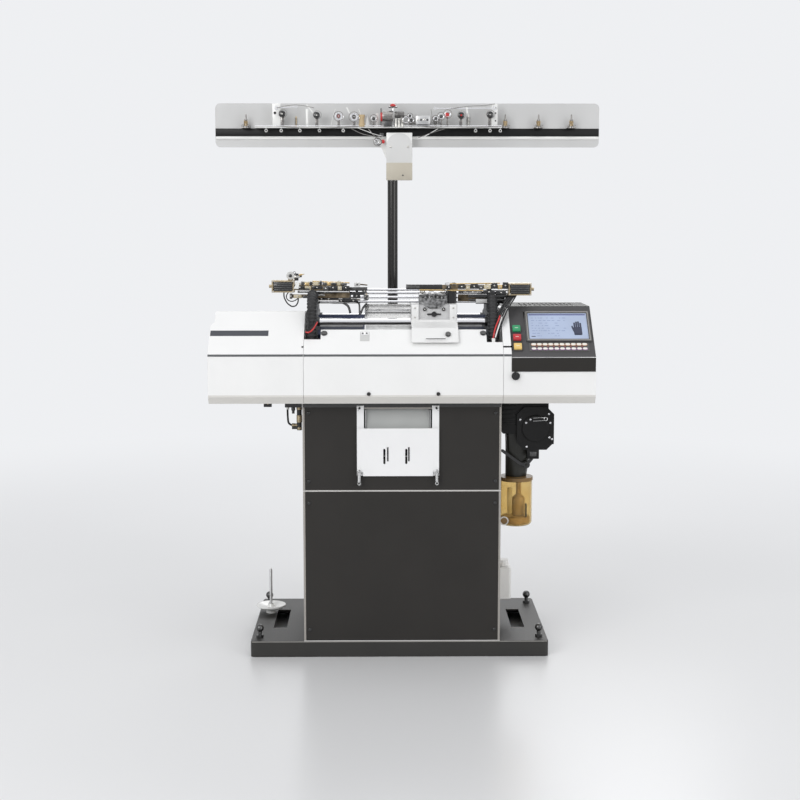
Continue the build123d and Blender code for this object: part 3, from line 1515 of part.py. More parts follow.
with BuildPart() as console_housing:
    with BuildSketch(Plane.YZ.offset(console_left_x)):
        with BuildLine():
            Polyline(*console_section(console_base_z), close=True)
        make_face()
    extrude(amount=console_right_x - console_left_x)
    fillet(console_housing.edges().filter_by(Axis.X).group_by(Axis.Z)[-1], 4)
    add(console_void.part, mode=Mode.SUBTRACT)
    with BuildSketch(Plane.YZ.offset(console_left_x)):
        with Locations(((tray_front_y + tray_back_y) / 2, (floor_z + cheek_top_z) / 2)):
            Rectangle(tray_back_y - tray_front_y + 2, cheek_top_z - floor_z + 2)
    extrude(amount=console_sheet, mode=Mode.SUBTRACT)
    with BuildSketch(console_slope):
        with Locations((screen_x, screen_run)):
            RectangleRounded(screen_width + 2 * bezel_rim, screen_height + 2 * bezel_rim, 6)
            Rectangle(screen_width, screen_height, mode=Mode.SUBTRACT)
    extrude(amount=bezel_height)
    with BuildSketch(console_slope):
        with Locations(*[(button_x, run) for run in button_runs]):
            Rectangle(button_size + 2 * guard_rim + 1, button_size + 2 * guard_rim + 1)
            Rectangle(button_size + 1, button_size + 1, mode=Mode.SUBTRACT)
    extrude(amount=button_height - 2)
    with BuildSketch(console_slope):
        with Locations(*[(button_x, run) for run in button_runs]):
            Circle(stem_radius + run_gap)
    extrude(amount=-2 * console_sheet, mode=Mode.SUBTRACT)
    with BuildSketch(Plane.XY.offset(console_top_z)):
        with Locations(((console_left_x + console_right_x) / 2, (console_ridge_y + console_back_y) / 2)):
            with GridLocations(14, 0, 12, 1):
                Rectangle(5, console_roof_depth * 0.6)
    extrude(amount=-2 * console_sheet, mode=Mode.SUBTRACT)
console_housing.part.label = "console_housing"

# Display: flat panel in the bezel
with BuildPart() as display:
    with BuildSketch(console_slope):
        with Locations((screen_x, screen_run)):
            Rectangle(screen_width - 2 * panel_gap, screen_height - 2 * panel_gap)
    extrude(amount=bezel_height - 1.5)
display.part.label = "display"

# Keypad: thin plate with two rows of oval keys
with BuildPart() as keypad:
    with BuildSketch(console_slope):
        with Locations((screen_x - 2, keypad_run)):
            RectangleRounded(keypad_width, keypad_height, 3)
    extrude(amount=1.5)
    with BuildSketch(console_slope.offset(1.5)):
        with Locations((screen_x - 2, keypad_run + 2)):
            with GridLocations(keypad_width / 10.6, 20, 10, 2):
                SlotOverall(12, 6)
    extrude(amount=0.8)
keypad.part.label = "keypad"


def push_button(run):
    """Square cap over its guard, on a round stem with a retaining head."""
    with BuildPart() as button:
        with BuildSketch(console_slope.offset(button_travel + run_gap)):
            with Locations((button_x, run)):
                RectangleRounded(button_size, button_size, 2.5)
        extrude(amount=button_height)
        with BuildSketch(console_slope.offset(button_travel + run_gap)):
            with Locations((button_x, run)):
                Circle(stem_radius)
        extrude(amount=-(button_travel + console_sheet + 6))
    return button


start_button = push_button(button_runs[0])
start_button.part.label = "start_button"
stop_button = push_button(button_runs[1])
stop_button.part.label = "stop_button"
reset_button = push_button(button_runs[2])
reset_button.part.label = "reset_button"

# Switch knob under the console, with a ridge to grip
with BuildPart() as switch_knob:
    with BuildSketch(upright(body_front_y - move_gap)):
        with Locations((knob_x, knob_z)):
            Circle(knob_diameter / 2)
    extrude(amount=6)
    with BuildSketch(upright(body_front_y - move_gap - 6)):
        with Locations((knob_x, knob_z)):
            SlotOverall(knob_diameter - 3, 7, rotation=60)
    extrude(amount=8)
    with BuildSketch(upright(body_front_y - move_gap)):
        with Locations((knob_x, knob_z)):
            Circle(knob_diameter / 4)
    extrude(amount=-(cover_sheet + 8))
switch_knob.part.label = "switch_knob"

# Mast: tube in a flanged socket on the tray
socket_height = 60.0
with BuildPart() as mast:
    with BuildSketch(Plane.XY.offset(tray_z)):
        with Locations((mast_x, mast_y)):
            RectangleRounded(84, 84, 10)
    extrude(amount=8)
    with BuildSketch(Plane.XY.offset(tray_z)):
        with Locations((mast_x, mast_y)):
            Circle(mast_diameter / 2 + 8)
    extrude(amount=socket_height)
    with BuildSketch(Plane.XY.offset(tray_z)):
        with Locations((mast_x, mast_y)):
            Circle(mast_diameter / 2)
    extrude(amount=mast_top_z - tray_z)
    with BuildSketch(Plane.XY.offset(mast_top_z)):
        with Locations((mast_x, mast_y)):
            Circle(mast_diameter / 2 - mast_wall)
    extrude(amount=-(mast_top_z - tray_z - socket_height), mode=Mode.SUBTRACT)

# Tension panel: long sheet with rounded corners, a raised strip, a rolled edge and a lower lip
strip_stand = 4.0
panel_front_y = panel_y - tension_sheet
roll_radius = 5.0
with BuildPart() as tension_panel:
    with BuildSketch(upright(panel_front_y)):
        with Locations((panel_centre_x, (panel_bottom_z + panel_top_z) / 2)):
            RectangleRounded(panel_width, panel_top_z - panel_bottom_z, 16)
    extrude(amount=-tension_sheet)
    with BuildSketch(upright(panel_front_y)):
        with Locations((panel_centre_x, black_strip_bottom_z + black_strip_height / 2)):
            Rectangle(panel_width - 12, black_strip_height)
    extrude(amount=strip_stand)
    with BuildSketch(Plane.YZ.offset(panel_centre_x - panel_width / 2 + 8)):
        with Locations((panel_front_y - 1, black_strip_bottom_z - roll_radius)):
            Circle(roll_radius)
    extrude(amount=panel_width - 16)
tension_panel.part.label = "tension_panel"

# Mast head: folded channel around the mast, arched at the top, with a clamp block inside
head_sheet = 3.0
channel_left_x = mast_x - mast_diameter / 2 - head_sheet - 0.3
channel_right_x = 43.0
channel_bottom_z = 1433.0
channel_top_z = 1578.0
channel_front_y = mast_y - mast_diameter / 2 - 7
channel_back_y = panel_front_y - strip_stand
channel_centre_x = (channel_left_x + channel_right_x) / 2
channel_width = channel_right_x - channel_left_x
with BuildPart() as mast_head:
    add(mast.part)
    with BuildSketch(Plane.XY.offset(channel_bottom_z)):
        with Locations((channel_centre_x, (channel_front_y + channel_back_y) / 2)):
            Rectangle(channel_width, channel_back_y - channel_front_y)
        with Locations((channel_centre_x, (channel_front_y + channel_back_y) / 2 + head_sheet)):
            Rectangle(
                channel_width - 2 * head_sheet, channel_back_y - channel_front_y, mode=Mode.SUBTRACT
            )
    extrude(amount=channel_top_z - channel_bottom_z)
    with BuildSketch(Plane.XY.offset(panel_bottom_z + 2)):
        with Locations((channel_centre_x, (channel_front_y + panel_front_y) / 2)):
            Rectangle(channel_width, panel_front_y - channel_front_y)
        with Locations((mast_x, mast_y)):
            Circle(mast_diameter / 2 + fit_gap, mode=Mode.SUBTRACT)
    extrude(amount=20)
    with BuildSketch(upright(channel_front_y - 1)):
        with Locations((channel_centre_x, channel_top_z - channel_width / 4)):
            Rectangle(channel_width + 2, channel_width / 2 + 1)
        with Locations((channel_centre_x, channel_top_z - channel_width / 2)):
            Circle(channel_width / 2, mode=Mode.SUBTRACT)
    extrude(amount=-(channel_back_y - channel_front_y + 2), mode=Mode.SUBTRACT)
mast_head.part.label = "mast"


# Tension shelf: sheet in front of the panel, with end brackets, a middle bracket and hooks below
shelf_top_z = shelf_z + shelf_sheet
shelf_bracket_top_z = 1668.0
hook_x = (-412.0, -365.0, -307.0, -246.0, -172.0, 241.0, 286.0, 318.0)
hook_y = shelf_y + 10
left_pivot_x = -379.0
right_pivot_x = 300.0
pivot_z = 1655.0
pivot_radius = 3.0
arm_plate_y = shelf_y + 16
with BuildPart() as tension_shelf:
    box_between((shelf_left_x, shelf_y, shelf_z), (shelf_right_x, panel_front_y - strip_stand, shelf_top_z))
    box_between(
        (shelf_left_x, panel_front_y - strip_stand, shelf_z), (shelf_right_x, panel_front_y, shelf_top_z)
    )
    for x, half_width, top in (
        (left_pivot_x, 12, shelf_bracket_top_z),
        (right_pivot_x, 8, shelf_bracket_top_z),
        (-66, 4, 1640),
    ):
        with BuildSketch(upright(arm_plate_y)):
            with Locations((x, (shelf_top_z + top) / 2)):
                RectangleRounded(2 * half_width, top - shelf_top_z, 2)
            with Locations((x, shelf_top_z + (top - shelf_top_z) * 0.5)):
                Circle(half_width / 2.5, mode=Mode.SUBTRACT)
        extrude(amount=-4)
    with BuildSketch(upright(arm_plate_y)):
        with Locations((left_pivot_x, pivot_z), (right_pivot_x, pivot_z)):
            Circle(pivot_radius)
    extrude(amount=8)
    for x in hook_x:
        box_between((x - 1, hook_y - 1, shelf_z - 4), (x + 1, hook_y + 1, shelf_z))
    with BuildSketch(upright(hook_y + 1)):
        for x in hook_x:
            with Locations((x, shelf_z - 8)):
                Circle(4.5)
                Circle(2.8, mode=Mode.SUBTRACT)
    extrude(amount=2)
tension_shelf.part.label = "tension_shelf"


def take_up_arm(pivot_x, end_x, end_rise):
    """Wire arm on the pivot pin of its bracket, with an eye at the far end."""
    wire = 3.0
    with BuildPart() as arm:
        with BuildSketch(upright(arm_plate_y - move_gap)):
            with Locations((pivot_x, pivot_z)):
                Circle(6.5)
            with Locations((end_x, pivot_z + end_rise)):
                Circle(4.5)
            with BuildLine():
                Polyline(
                    (pivot_x, pivot_z - wire / 2),
                    (pivot_x, pivot_z + wire / 2),
                    (end_x, pivot_z + end_rise + wire / 2),
                    (end_x, pivot_z + end_rise - wire / 2),
                    close=True,
                )
            make_face()
            with Locations((pivot_x, pivot_z)):
                Circle(pivot_radius + run_gap, mode=Mode.SUBTRACT)
            with Locations((end_x, pivot_z + end_rise)):
                Circle(2.5, mode=Mode.SUBTRACT)
        extrude(amount=4)
    return arm


take_up_arm_left = take_up_arm(left_pivot_x, -318.0, 4.0)
take_up_arm_left.part.label = "take_up_arm_left"
take_up_arm_right = take_up_arm(right_pivot_x, 115.0, -1.0)
take_up_arm_right.part.label = "take_up_arm_right"

# Yarn tensioners along the shelf: knobs, discs, cones, catchers, spring posts and a signal lamp
tension_y = shelf_y + 14
knob_items = [(-361.0, 1636.0), (-254.0, 1632.0), (195.0, 1632.0), (285.0, 1634.0)]
disc_items = [(-186.0, 1629.0, 14.0), (-138.0, 1627.0, 15.0)]
block_items = [
    (-9.0, 22.0, 1658.0),
    (54.0, 99.0, 1636.0),
    (-322.0, -306.0, 1622.0),
    (214.0, 232.0, 1632.0),
]
barrel_items = [(-114.0, 9.0, 1634.0), (-30.0, 15.0, 1640.0), (151.0, 12.0, 1622.0)]
ring_items = [(-81.0, 13.0, 15.0), (117.0, 13.5, 26.0), (36.0, 12.0, 8.0)]
lamp_x = -13.0
post_x = (-476.0, 335.0, 439.0, 542.0)
post_radius = 11.0
post_height = 38.0
with BuildPart() as tensioners:
    for x, z in knob_items:
        box_between((x - 2, tension_y, shelf_top_z), (x + 2, tension_y + 12, z))
        with BuildSketch(upright(tension_y)):
            with Locations((x, z)):
                RegularPolygon(10, 10)
        extrude(amount=12)
    for x, z, radius in disc_items:
        box_between((x - 2, tension_y, shelf_top_z), (x + 2, tension_y + 12, z - radius / 2))
        for lift in (0, 6):
            with BuildSketch(upright(tension_y - lift)):
                with Locations((x, z)):
                    Circle(radius)
            extrude(amount=3, taper=30)
        with BuildSketch(upright(tension_y + 4)):
            with Locations((x, z)):
                Circle(3)
        extrude(amount=20)
    for first, last, top in block_items:
        box_between((first, tension_y - 8, shelf_top_z), (last, tension_y + 10, top))
    for x, radius, top in barrel_items:
        with BuildSketch(Plane.XY.offset(shelf_top_z)):
            with Locations((x, tension_y)):
                Circle(radius)
        extrude(amount=top - shelf_top_z)
    for x, radius, width in ring_items:
        with BuildSketch(Plane.YZ.offset(x - width / 2)):
            with Locations((tension_y, shelf_top_z + radius)):
                Circle(radius)
        extrude(amount=width)
    with Locations((151.0, tension_y, 1633.0)):
        Sphere(12)
    with BuildSketch(Plane.XY.offset(1640)):
        with Locations((lamp_x - 14, tension_y)):
            Circle(3)
    extrude(amount=12)
    with BuildSketch(Plane.XY.offset(1652)):
        with Locations((lamp_x - 14, tension_y)):
            Circle(8)
    extrude(amount=13)
    fillet(tensioners.faces().sort_by(Axis.Z)[-1].edges(), 6)
    for x in post_x:
        with BuildSketch(Plane.XY.offset(shelf_top_z)):
            with Locations((x, panel_front_y - strip_stand - 2 * post_radius)):
                Circle(post_radius)
        extrude(amount=post_height)
        box_between(
            (x - 4, panel_front_y - 2 * post_radius, shelf_top_z + 6),
            (x + 4, panel_front_y, shelf_top_z + 14),
        )
tensioners.part.label = "tensioners"

# Waste blower under the tray: housing with an impeller chamber and a clipped square flange
blower_left_x = 308.0
blower_right_x = 448.0
blower_bottom_z = 672.0
blower_back_y = -60.0
blower_front_y = blower_y - 6
flange_thickness = 8.0
flange_centre = (408.0, 689.0)
chamber_radius = 44.0
chamber_centre_z = (blower_bottom_z + floor_z) / 2
chamber_centre_x = (blower_left_x + blower_right_x) / 2
chamber_depth = 36.0
chamber_back_y = blower_front_y + 8 + chamber_depth
axle_radius = 5.0
with BuildPart() as waste_blower:
    with BuildSketch(upright(blower_front_y)):
        with Locations((chamber_centre_x, chamber_centre_z)):
            RectangleRounded(blower_right_x - blower_left_x, floor_z - blower_bottom_z, 6)
    extrude(amount=-(blower_back_y - blower_front_y))
    with BuildSketch(upright(blower_front_y + 8)):
        with Locations((chamber_centre_x, chamber_centre_z)):
            Circle(chamber_radius)
    extrude(amount=-chamber_depth, mode=Mode.SUBTRACT)
    with BuildSketch(upright(chamber_back_y)):
        with Locations((chamber_centre_x, chamber_centre_z)):
            Circle(axle_radius + run_gap)
    extrude(amount=-20, mode=Mode.SUBTRACT)
    with BuildSketch(upright(blower_front_y)) as flange_face:
        with Locations(flange_centre):
            Rectangle(flange_size, flange_size * 1.16)
        chamfer(flange_face.vertices(), 22)
    extrude(amount=flange_thickness)
    with BuildSketch(upright(blower_front_y - flange_thickness)):
        with Locations(flange_centre):
            Circle(flange_size * 0.36)
    extrude(amount=6)
    fillet(waste_blower.faces().sort_by(Axis.Y)[0].edges(), 3)
waste_blower.part.label = "waste_blower"

# Impeller: disc with straight blades on its axle, inside the chamber
with BuildPart() as impeller:
    with BuildSketch(upright(chamber_back_y - 1)):
        with Locations((chamber_centre_x, chamber_centre_z)):
            Circle(chamber_radius - 2)
    extrude(amount=3)
    with BuildSketch(upright(chamber_back_y - 4)):
        with Locations((chamber_centre_x, chamber_centre_z)):
            Circle(10)
            with PolarLocations(chamber_radius / 2 + 2, 8):
                Rectangle(chamber_radius - 14, 2.5)
    extrude(amount=chamber_depth - 8)
    with BuildSketch(upright(chamber_back_y - 1)):
        with Locations((chamber_centre_x, chamber_centre_z)):
            Circle(axle_radius)
    extrude(amount=-18)
impeller.part.label = "impeller"

# Blower duct: square above, round below, with the lid of the waste jar
duct_y = -130.0
duct_radius = 32.0
lever_pivot_x = 385.0
lever_pivot_z = 573.0
lever_end_x = 312.0
lever_end_z = 617.0
with BuildPart() as blower_duct:
    with BuildSketch(Plane.XY.offset(blower_bottom_z)):
        with Locations((jar_x + 10, duct_y)):
            RectangleRounded(84, 84, 8)
    with BuildSketch(Plane.XY.offset(jar_top_z + 12)):
        with Locations((jar_x, duct_y)):
            Circle(duct_radius)
    loft()
    with BuildSketch(Plane.XY.offset(jar_top_z)):
        with Locations((jar_x, duct_y)):
            Circle(jar_diameter / 2)
    extrude(amount=12)
    fillet(blower_duct.faces().sort_by(Axis.Z)[0].edges(), 2)
    with BuildSketch(upright(duct_y - 20)):
        with Locations((lever_pivot_x, lever_pivot_z)):
            Circle(11)
    extrude(amount=22)
    with BuildSketch(upright(duct_y - 42)):
        with Locations((lever_pivot_x, lever_pivot_z)):
            Circle(4)
    extrude(amount=10)
blower_duct.part.label = "blower_duct"

# Clamp lever: bent flat lever on the pin of the duct
with BuildPart() as clamp_lever:
    with BuildSketch(upright(duct_y - 42 - move_gap)):
        with BuildLine():
            lever_path = Polyline((lever_end_x, lever_end_z), (367, 577), (lever_pivot_x, lever_pivot_z), (409, 603))
            offset(amount=4.5, kind=Kind.ARC)
        make_face()
        with Locations((lever_pivot_x, lever_pivot_z)):
            Circle(9)
            Circle(4 + run_gap, mode=Mode.SUBTRACT)
    extrude(amount=5)
clamp_lever.part.label = "clamp_lever"

# Waste jar: clear jar under the lid, with a drain plug low on its front
drain_x = 318.0
drain_z = 402.0
drain_diameter = 24.0
drain_reach = 22.0
jar_corner = 12.0
jar_radius = jar_diameter / 2 - 2
jar_bottom_z = jar_top_z - jar_height
with BuildPart() as jar_space:
    with BuildSketch(Plane.XY.offset(jar_bottom_z + jar_wall)):
        with Locations((jar_x, duct_y)):
            Circle(jar_radius - jar_wall)
    extrude(amount=jar_height)
    fillet(jar_space.faces().sort_by(Axis.Z)[0].edges(), jar_corner - jar_wall)
with BuildPart() as waste_jar:
    with BuildSketch(Plane.XY.offset(jar_bottom_z)):
        with Locations((jar_x, duct_y)):
            Circle(jar_radius)
    extrude(amount=jar_height)
    fillet(waste_jar.faces().sort_by(Axis.Z)[0].edges(), jar_corner)
    with BuildSketch(upright(duct_y - jar_radius)):
        with Locations((drain_x, drain_z)):
            Circle(drain_diameter / 2)
    extrude(amount=-drain_reach)
    add(jar_space.part, mode=Mode.SUBTRACT)
waste_jar.part.label = "waste_jar"

# Pneumatic valve under the left end: block, barrel with an elbow, and a small tab beside it
valve_y = blower_y - 10
with BuildPart() as air_valve:
    box_between((-342, valve_y - 15, floor_z - 22), (-292, valve_y + 15, floor_z))
    with BuildSketch(Plane.XY.offset(floor_z - 22)):
        with Locations((-300, valve_y)):
            Circle(7.5)
    extrude(amount=-70)
    with BuildSketch(Plane.YZ.offset(-322)):
        with Locations((valve_y, floor_z - 84)):
            Circle(5.5)
    extrude(amount=22)
    box_between((-406, valve_y - 3, floor_z - 22), (-382, valve_y + 3, floor_z))
air_valve.part.label = "air_valve"

# Files
pieces = [
    base_frame,
    leveling_bolts,
    cone_seat,
    cabinet_frame,
    lower_front_panel,
    upper_front_panel,
    rear_panel,
    glove_chute,
    chute_springs,
    electronics_box,
    oil_tank,
    left_cover,
    right_cover,
    front_cover,
    rear_cover,
    body_tray,
    sheet_screws,
    bed_bars,
    needle_beds,
    needles,
    end_brackets,
    guide_rods,
    carriage_saddles,
    carriage_head,
    carriage_bow,
    carriage_apron,
    cam_lever,
    apron_thumb_screw,
    carriage_drive,
    drive_pulley,
    idler_pulley,
    drive_belt,
    glove_funnel,
    feeder_left,
    feeder_middle,
    feeder_right,
    side_arms,
    solenoids,
    guide_wheel,
    hoses,
    control_cable,
    console_housing,
    display,
    keypad,
    start_button,
    stop_button,
    reset_button,
    switch_knob,
    tension_panel,
    mast_head,
    tension_shelf,
    take_up_arm_left,
    take_up_arm_right,
    tensioners,
    waste_blower,
    impeller,
    blower_duct,
    clamp_lever,
    waste_jar,
    air_valve,
]
for piece in pieces:
    export_step(piece.part, "parts/" + piece.part.label + ".step")
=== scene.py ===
import math
import random

import bmesh
import bpy
from mathutils import Matrix, Vector


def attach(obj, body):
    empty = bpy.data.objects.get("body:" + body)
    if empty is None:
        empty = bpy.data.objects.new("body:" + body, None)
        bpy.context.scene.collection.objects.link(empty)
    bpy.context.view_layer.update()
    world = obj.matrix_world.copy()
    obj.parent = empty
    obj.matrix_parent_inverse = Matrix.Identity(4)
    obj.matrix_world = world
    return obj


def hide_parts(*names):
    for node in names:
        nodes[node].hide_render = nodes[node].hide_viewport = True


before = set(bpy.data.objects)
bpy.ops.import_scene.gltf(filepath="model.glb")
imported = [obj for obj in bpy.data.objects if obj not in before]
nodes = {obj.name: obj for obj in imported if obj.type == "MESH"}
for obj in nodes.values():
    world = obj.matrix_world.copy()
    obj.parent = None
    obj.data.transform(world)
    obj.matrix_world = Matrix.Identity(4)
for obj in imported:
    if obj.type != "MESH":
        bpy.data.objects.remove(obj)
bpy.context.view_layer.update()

random.seed(7)


# Floor base
# A tray folded from one steel sheet and powder coated in a warm charcoal. Its long front edge and the
# rims of its two slots carry painted highlights.
base_colour = (0.021, 0.020, 0.018)
edge_highlight_colour = (0.30, 0.29, 0.27)
base_front_y = -252.5
base_top_z = 48.0
base_half_width = 446.0


def new_material(name):
    """Node material with its tree and its shader."""
    material = bpy.data.materials.new(name)
    material.use_nodes = True
    tree = material.node_tree
    return material, tree, tree.nodes["Principled BSDF"]


def grain(tree, scale, detail=3.0, stretch=(1.0, 1.0, 1.0)):
    """Noise on the piece itself, drawn out along the axis with the small stretch."""
    place = tree.nodes.new("ShaderNodeTexCoord")
    mapping = tree.nodes.new("ShaderNodeMapping")
    mapping.inputs["Scale"].default_value = stretch
    tree.links.new(place.outputs["Object"], mapping.inputs["Vector"])
    node = tree.nodes.new("ShaderNodeTexNoise")
    node.inputs["Scale"].default_value = scale
    node.inputs["Detail"].default_value = detail
    tree.links.new(mapping.outputs["Vector"], node.inputs["Vector"])
    return node.outputs["Fac"]


def between(tree, factor, first, last, target, low=0.3, high=0.7):
    """Colour or grey that runs from first to last with a factor, into a shader's socket."""
    node = tree.nodes.new("ShaderNodeValToRGB")
    for element, position, tone in zip(node.color_ramp.elements, (low, high), (first, last)):
        element.position = position
        element.color = (*tone, 1.0) if isinstance(tone, tuple) else (tone, tone, tone, 1.0)
    tree.links.new(factor, node.inputs["Fac"])
    if target:
        tree.links.new(node.outputs["Color"], target)
    return node.outputs["Color"]


def toned(colour, factor):
    return tuple(min(1.0, channel * factor) for channel in colour)


def relief(tree, shader, height, strength, depth=0.0003, edge=0.0006):
    """Fine relief from a height, over slightly rounded edges."""
    bevel = tree.nodes.new("ShaderNodeBevel")
    bevel.samples = 4
    bevel.inputs["Radius"].default_value = edge
    bump = tree.nodes.new("ShaderNodeBump")
    bump.inputs["Strength"].default_value = strength
    bump.inputs["Distance"].default_value = depth
    tree.links.new(height, bump.inputs["Height"])
    tree.links.new(bevel.outputs["Normal"], bump.inputs["Normal"])
    tree.links.new(bump.outputs["Normal"], shader.inputs["Normal"])


def coated(name, colour, roughness=0.42, spread=0.05, peel=0.15, scale=900.0, gloss=0.5, lacquer=0.0):
    """Powder coat, paint or moulded plastic: orange peel, a slow change of tone and patchy gloss."""
    material, tree, shader = new_material(name)
    fine = grain(tree, scale, 2.0)
    between(
        tree, grain(tree, 6.0, 2.0), toned(colour, 1 - spread), toned(colour, 1 + spread),
        shader.inputs["Base Color"],
    )
    between(tree, fine, roughness * 0.85, min(1.0, roughness * 1.15), shader.inputs["Roughness"])
    shader.inputs["Specular IOR Level"].default_value = gloss
    shader.inputs["Coat Weight"].default_value = lacquer
    relief(tree, shader, fine, peel)
    return material


class Piece:
    """One visible piece in millimetres: a form with one material slot for each finish on it."""

    def __init__(self, name, body, slot):
        self.name = name
        self.body = body
        self.slot = slot
        self.finishes = []
        self.form = bmesh.new()

    def join(self, part, place, finish):
        """Adds a part to the form at its place."""
        bmesh.ops.remove_doubles(part, verts=part.verts, dist=0.001)
        bmesh.ops.recalc_face_normals(part, faces=part.faces)
        bmesh.ops.transform(part, matrix=place, verts=part.verts)
        if finish not in self.finishes:
            self.finishes.append(finish)
        for face in part.faces:
            face.material_index = self.finishes.index(finish)
        mesh = bpy.data.meshes.new("part")
        part.to_mesh(mesh)
        part.free()
        self.form.from_mesh(mesh)
        bpy.data.meshes.remove(mesh)

    def block(self, low, high, finish, edge=0.6, turn=Matrix.Identity(4)):
        """Block between two corners with rounded edges, turned about its centre."""
        size = Vector(high) - Vector(low)
        part = bmesh.new()
        bmesh.ops.create_cube(part, size=1.0)
        bmesh.ops.scale(part, vec=size, verts=part.verts)
        if edge:
            width = min(edge, min(size) * 0.4)
            bmesh.ops.bevel(
                part, geom=part.edges[:], offset=width, segments=2, profile=0.5, affect="EDGES", material=-1
            )
        self.join(part, Matrix.Translation((Vector(low) + Vector(high)) / 2) @ turn, finish)

    def turned(self, foot, axis, profile, finish, sides=24):
        """Turned form: profile holds (height, radius) pairs from the foot along the axis."""
        part = bmesh.new()
        closed = [(profile[0][0], 0.0), *profile, (profile[-1][0], 0.0)]
        points = [part.verts.new((radius, 0.0, height)) for height, radius in closed]
        lines = [part.edges.new(pair) for pair in zip(points, points[1:])]
        bmesh.ops.spin(
            part, geom=points + lines, cent=(0, 0, 0), axis=(0, 0, 1),
            angle=2 * math.pi, steps=sides, use_merge=True,
        )
        turn = Vector(axis).to_track_quat("Z", "Y").to_matrix().to_4x4()
        self.join(part, Matrix.Translation(foot) @ turn, finish)

    def rod(self, first, last, radius, finish, sides=20, edge=0.4):
        """Round rod with chamfered ends."""
        run = Vector(last) - Vector(first)
        length = run.length
        edge = min(edge, radius * 0.5, length * 0.3)
        profile = [(0, radius - edge), (edge, radius), (length - edge, radius), (length, radius - edge)]
        self.turned(first, run, profile, finish, sides)

    def plate(self, outline, normal, thickness, finish):
        """Plate cut to an outline and thickened along its normal."""
        part = bmesh.new()
        face = part.faces.new([part.verts.new(point) for point in outline])
        raised = bmesh.ops.extrude_face_region(part, geom=[face])["geom"]
        points = [item for item in raised if isinstance(item, bmesh.types.BMVert)]
        bmesh.ops.translate(part, vec=Vector(normal).normalized() * thickness, verts=points)
        self.join(part, Matrix.Identity(4), finish)

    def done(self, *replaced):
        """Makes the piece an object in metres and lets it ride on its body."""
        bmesh.ops.scale(self.form, vec=(0.001, 0.001, 0.001), verts=self.form.verts)
        mesh = bpy.data.meshes.new(self.name)
        self.form.to_mesh(mesh)
        self.form.free()
        for polygon in mesh.polygons:
            polygon.use_smooth = True
        mesh.set_sharp_from_angle(angle=math.radians(38))
        for finish in self.finishes:
            mesh.materials.append(finish)
        thing = bpy.data.objects.new(self.name, mesh)
        bpy.context.scene.collection.objects.link(thing)
        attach(thing, self.body)
        if replaced:
            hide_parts(*replaced)


def dress(material, *names):
    """Gives CAD nodes their material."""
    for name in names:
        mesh = nodes[name].data
        mesh.materials.clear()
        mesh.materials.append(material)


base_coat = coated("base_coat", base_colour, 0.5, 0.12, 0.3)
# Light strips on the front edge and the slot rims are painted highlights.
painted_edge_highlight = coated("painted_edge_highlight", edge_highlight_colour, 0.4)
dress(base_coat, "base_frame")
base_edges = Piece("base_edges", "machine", "base_grey")
base_edges.block(
    (-base_half_width, base_front_y - 0.4, base_top_z - 2.6),
    (base_half_width, base_front_y + 0.2, base_top_z - 0.2),
    painted_edge_highlight,
    0.2,
)
for slot_x in (-370.5, 370.5):
    for rim_y in (-104.2, 112.0):
        base_edges.block(
            (slot_x - 20.5, rim_y, base_top_z - 1.5), (slot_x + 20.5, rim_y + 1.2, base_top_z + 0.2),
            painted_edge_highlight, 0.1
        )
base_edges.done()


# Levelling bolts and lock nuts
# Black oxide bolts with ball heads, turned and threaded, each with a hexagon nut.
oxide_colour = (0.10, 0.10, 0.10)


def bare_metal(name, colour, roughness=0.25, stretch=(1.0, 1.0, 1.0), scale=300.0, spread=0.12, depth=0.08):
    """Bare metal: grain or brushing, and smudges in the gloss."""
    material, tree, shader = new_material(name)
    shader.inputs["Metallic"].default_value = 1.0
    lines = grain(tree, scale, 4.0, stretch)
    between(tree, lines, toned(colour, 1 - spread), toned(colour, 1 + spread), shader.inputs["Base Color"])
    between(
        tree, grain(tree, 22.0), roughness * 0.75, min(1.0, roughness * 1.4), shader.inputs["Roughness"]
    )
    relief(tree, shader, lines, depth, 0.0002)
    return material


oxide = bare_metal("black_oxide", oxide_colour, 0.35, spread=0.3)
dress(oxide, "leveling_bolts")


# Yarn cone seat
# A round pressed plate in white enamel on a bright steel spindle that is screwed to the base.
spindle_foot = (-412.0, 80.0, 78.3)
spindle_radius = 4.62
enamel_colour = (0.80, 0.80, 0.78)
bright_steel_colour = (0.60, 0.60, 0.60)

enamel = coated("white_enamel", enamel_colour, 0.24, 0.03, lacquer=0.3)
bright_steel = bare_metal("bright_steel", bright_steel_colour, 0.3, (1.0, 1.0, 0.04), 380.0, 0.08)
dress(enamel, "cone_seat")
spindle = Piece("spindle_sleeve", "machine", "steel")
spindle.turned(
    spindle_foot,
    (0, 0, 1),
    [
        (0, spindle_radius + 2.4), (3, spindle_radius + 2.4), (4, spindle_radius), (109.6, spindle_radius),
        (115.6, 2.7),
    ],
    bright_steel,
)
spindle.done()


# Cabinet
# Folded frame with light edges, closed by two dark powder-coated panels in front and one behind.
# Black button-head screws hold the panels.
panel_colour = (0.0185, 0.0165, 0.0145)
frame_colour = (0.33, 0.31, 0.285)
fold_colour = (0.62, 0.61, 0.60)
cabinet_left_x = -288.0
cabinet_right_x = 302.0
panel_front_y = -252.9

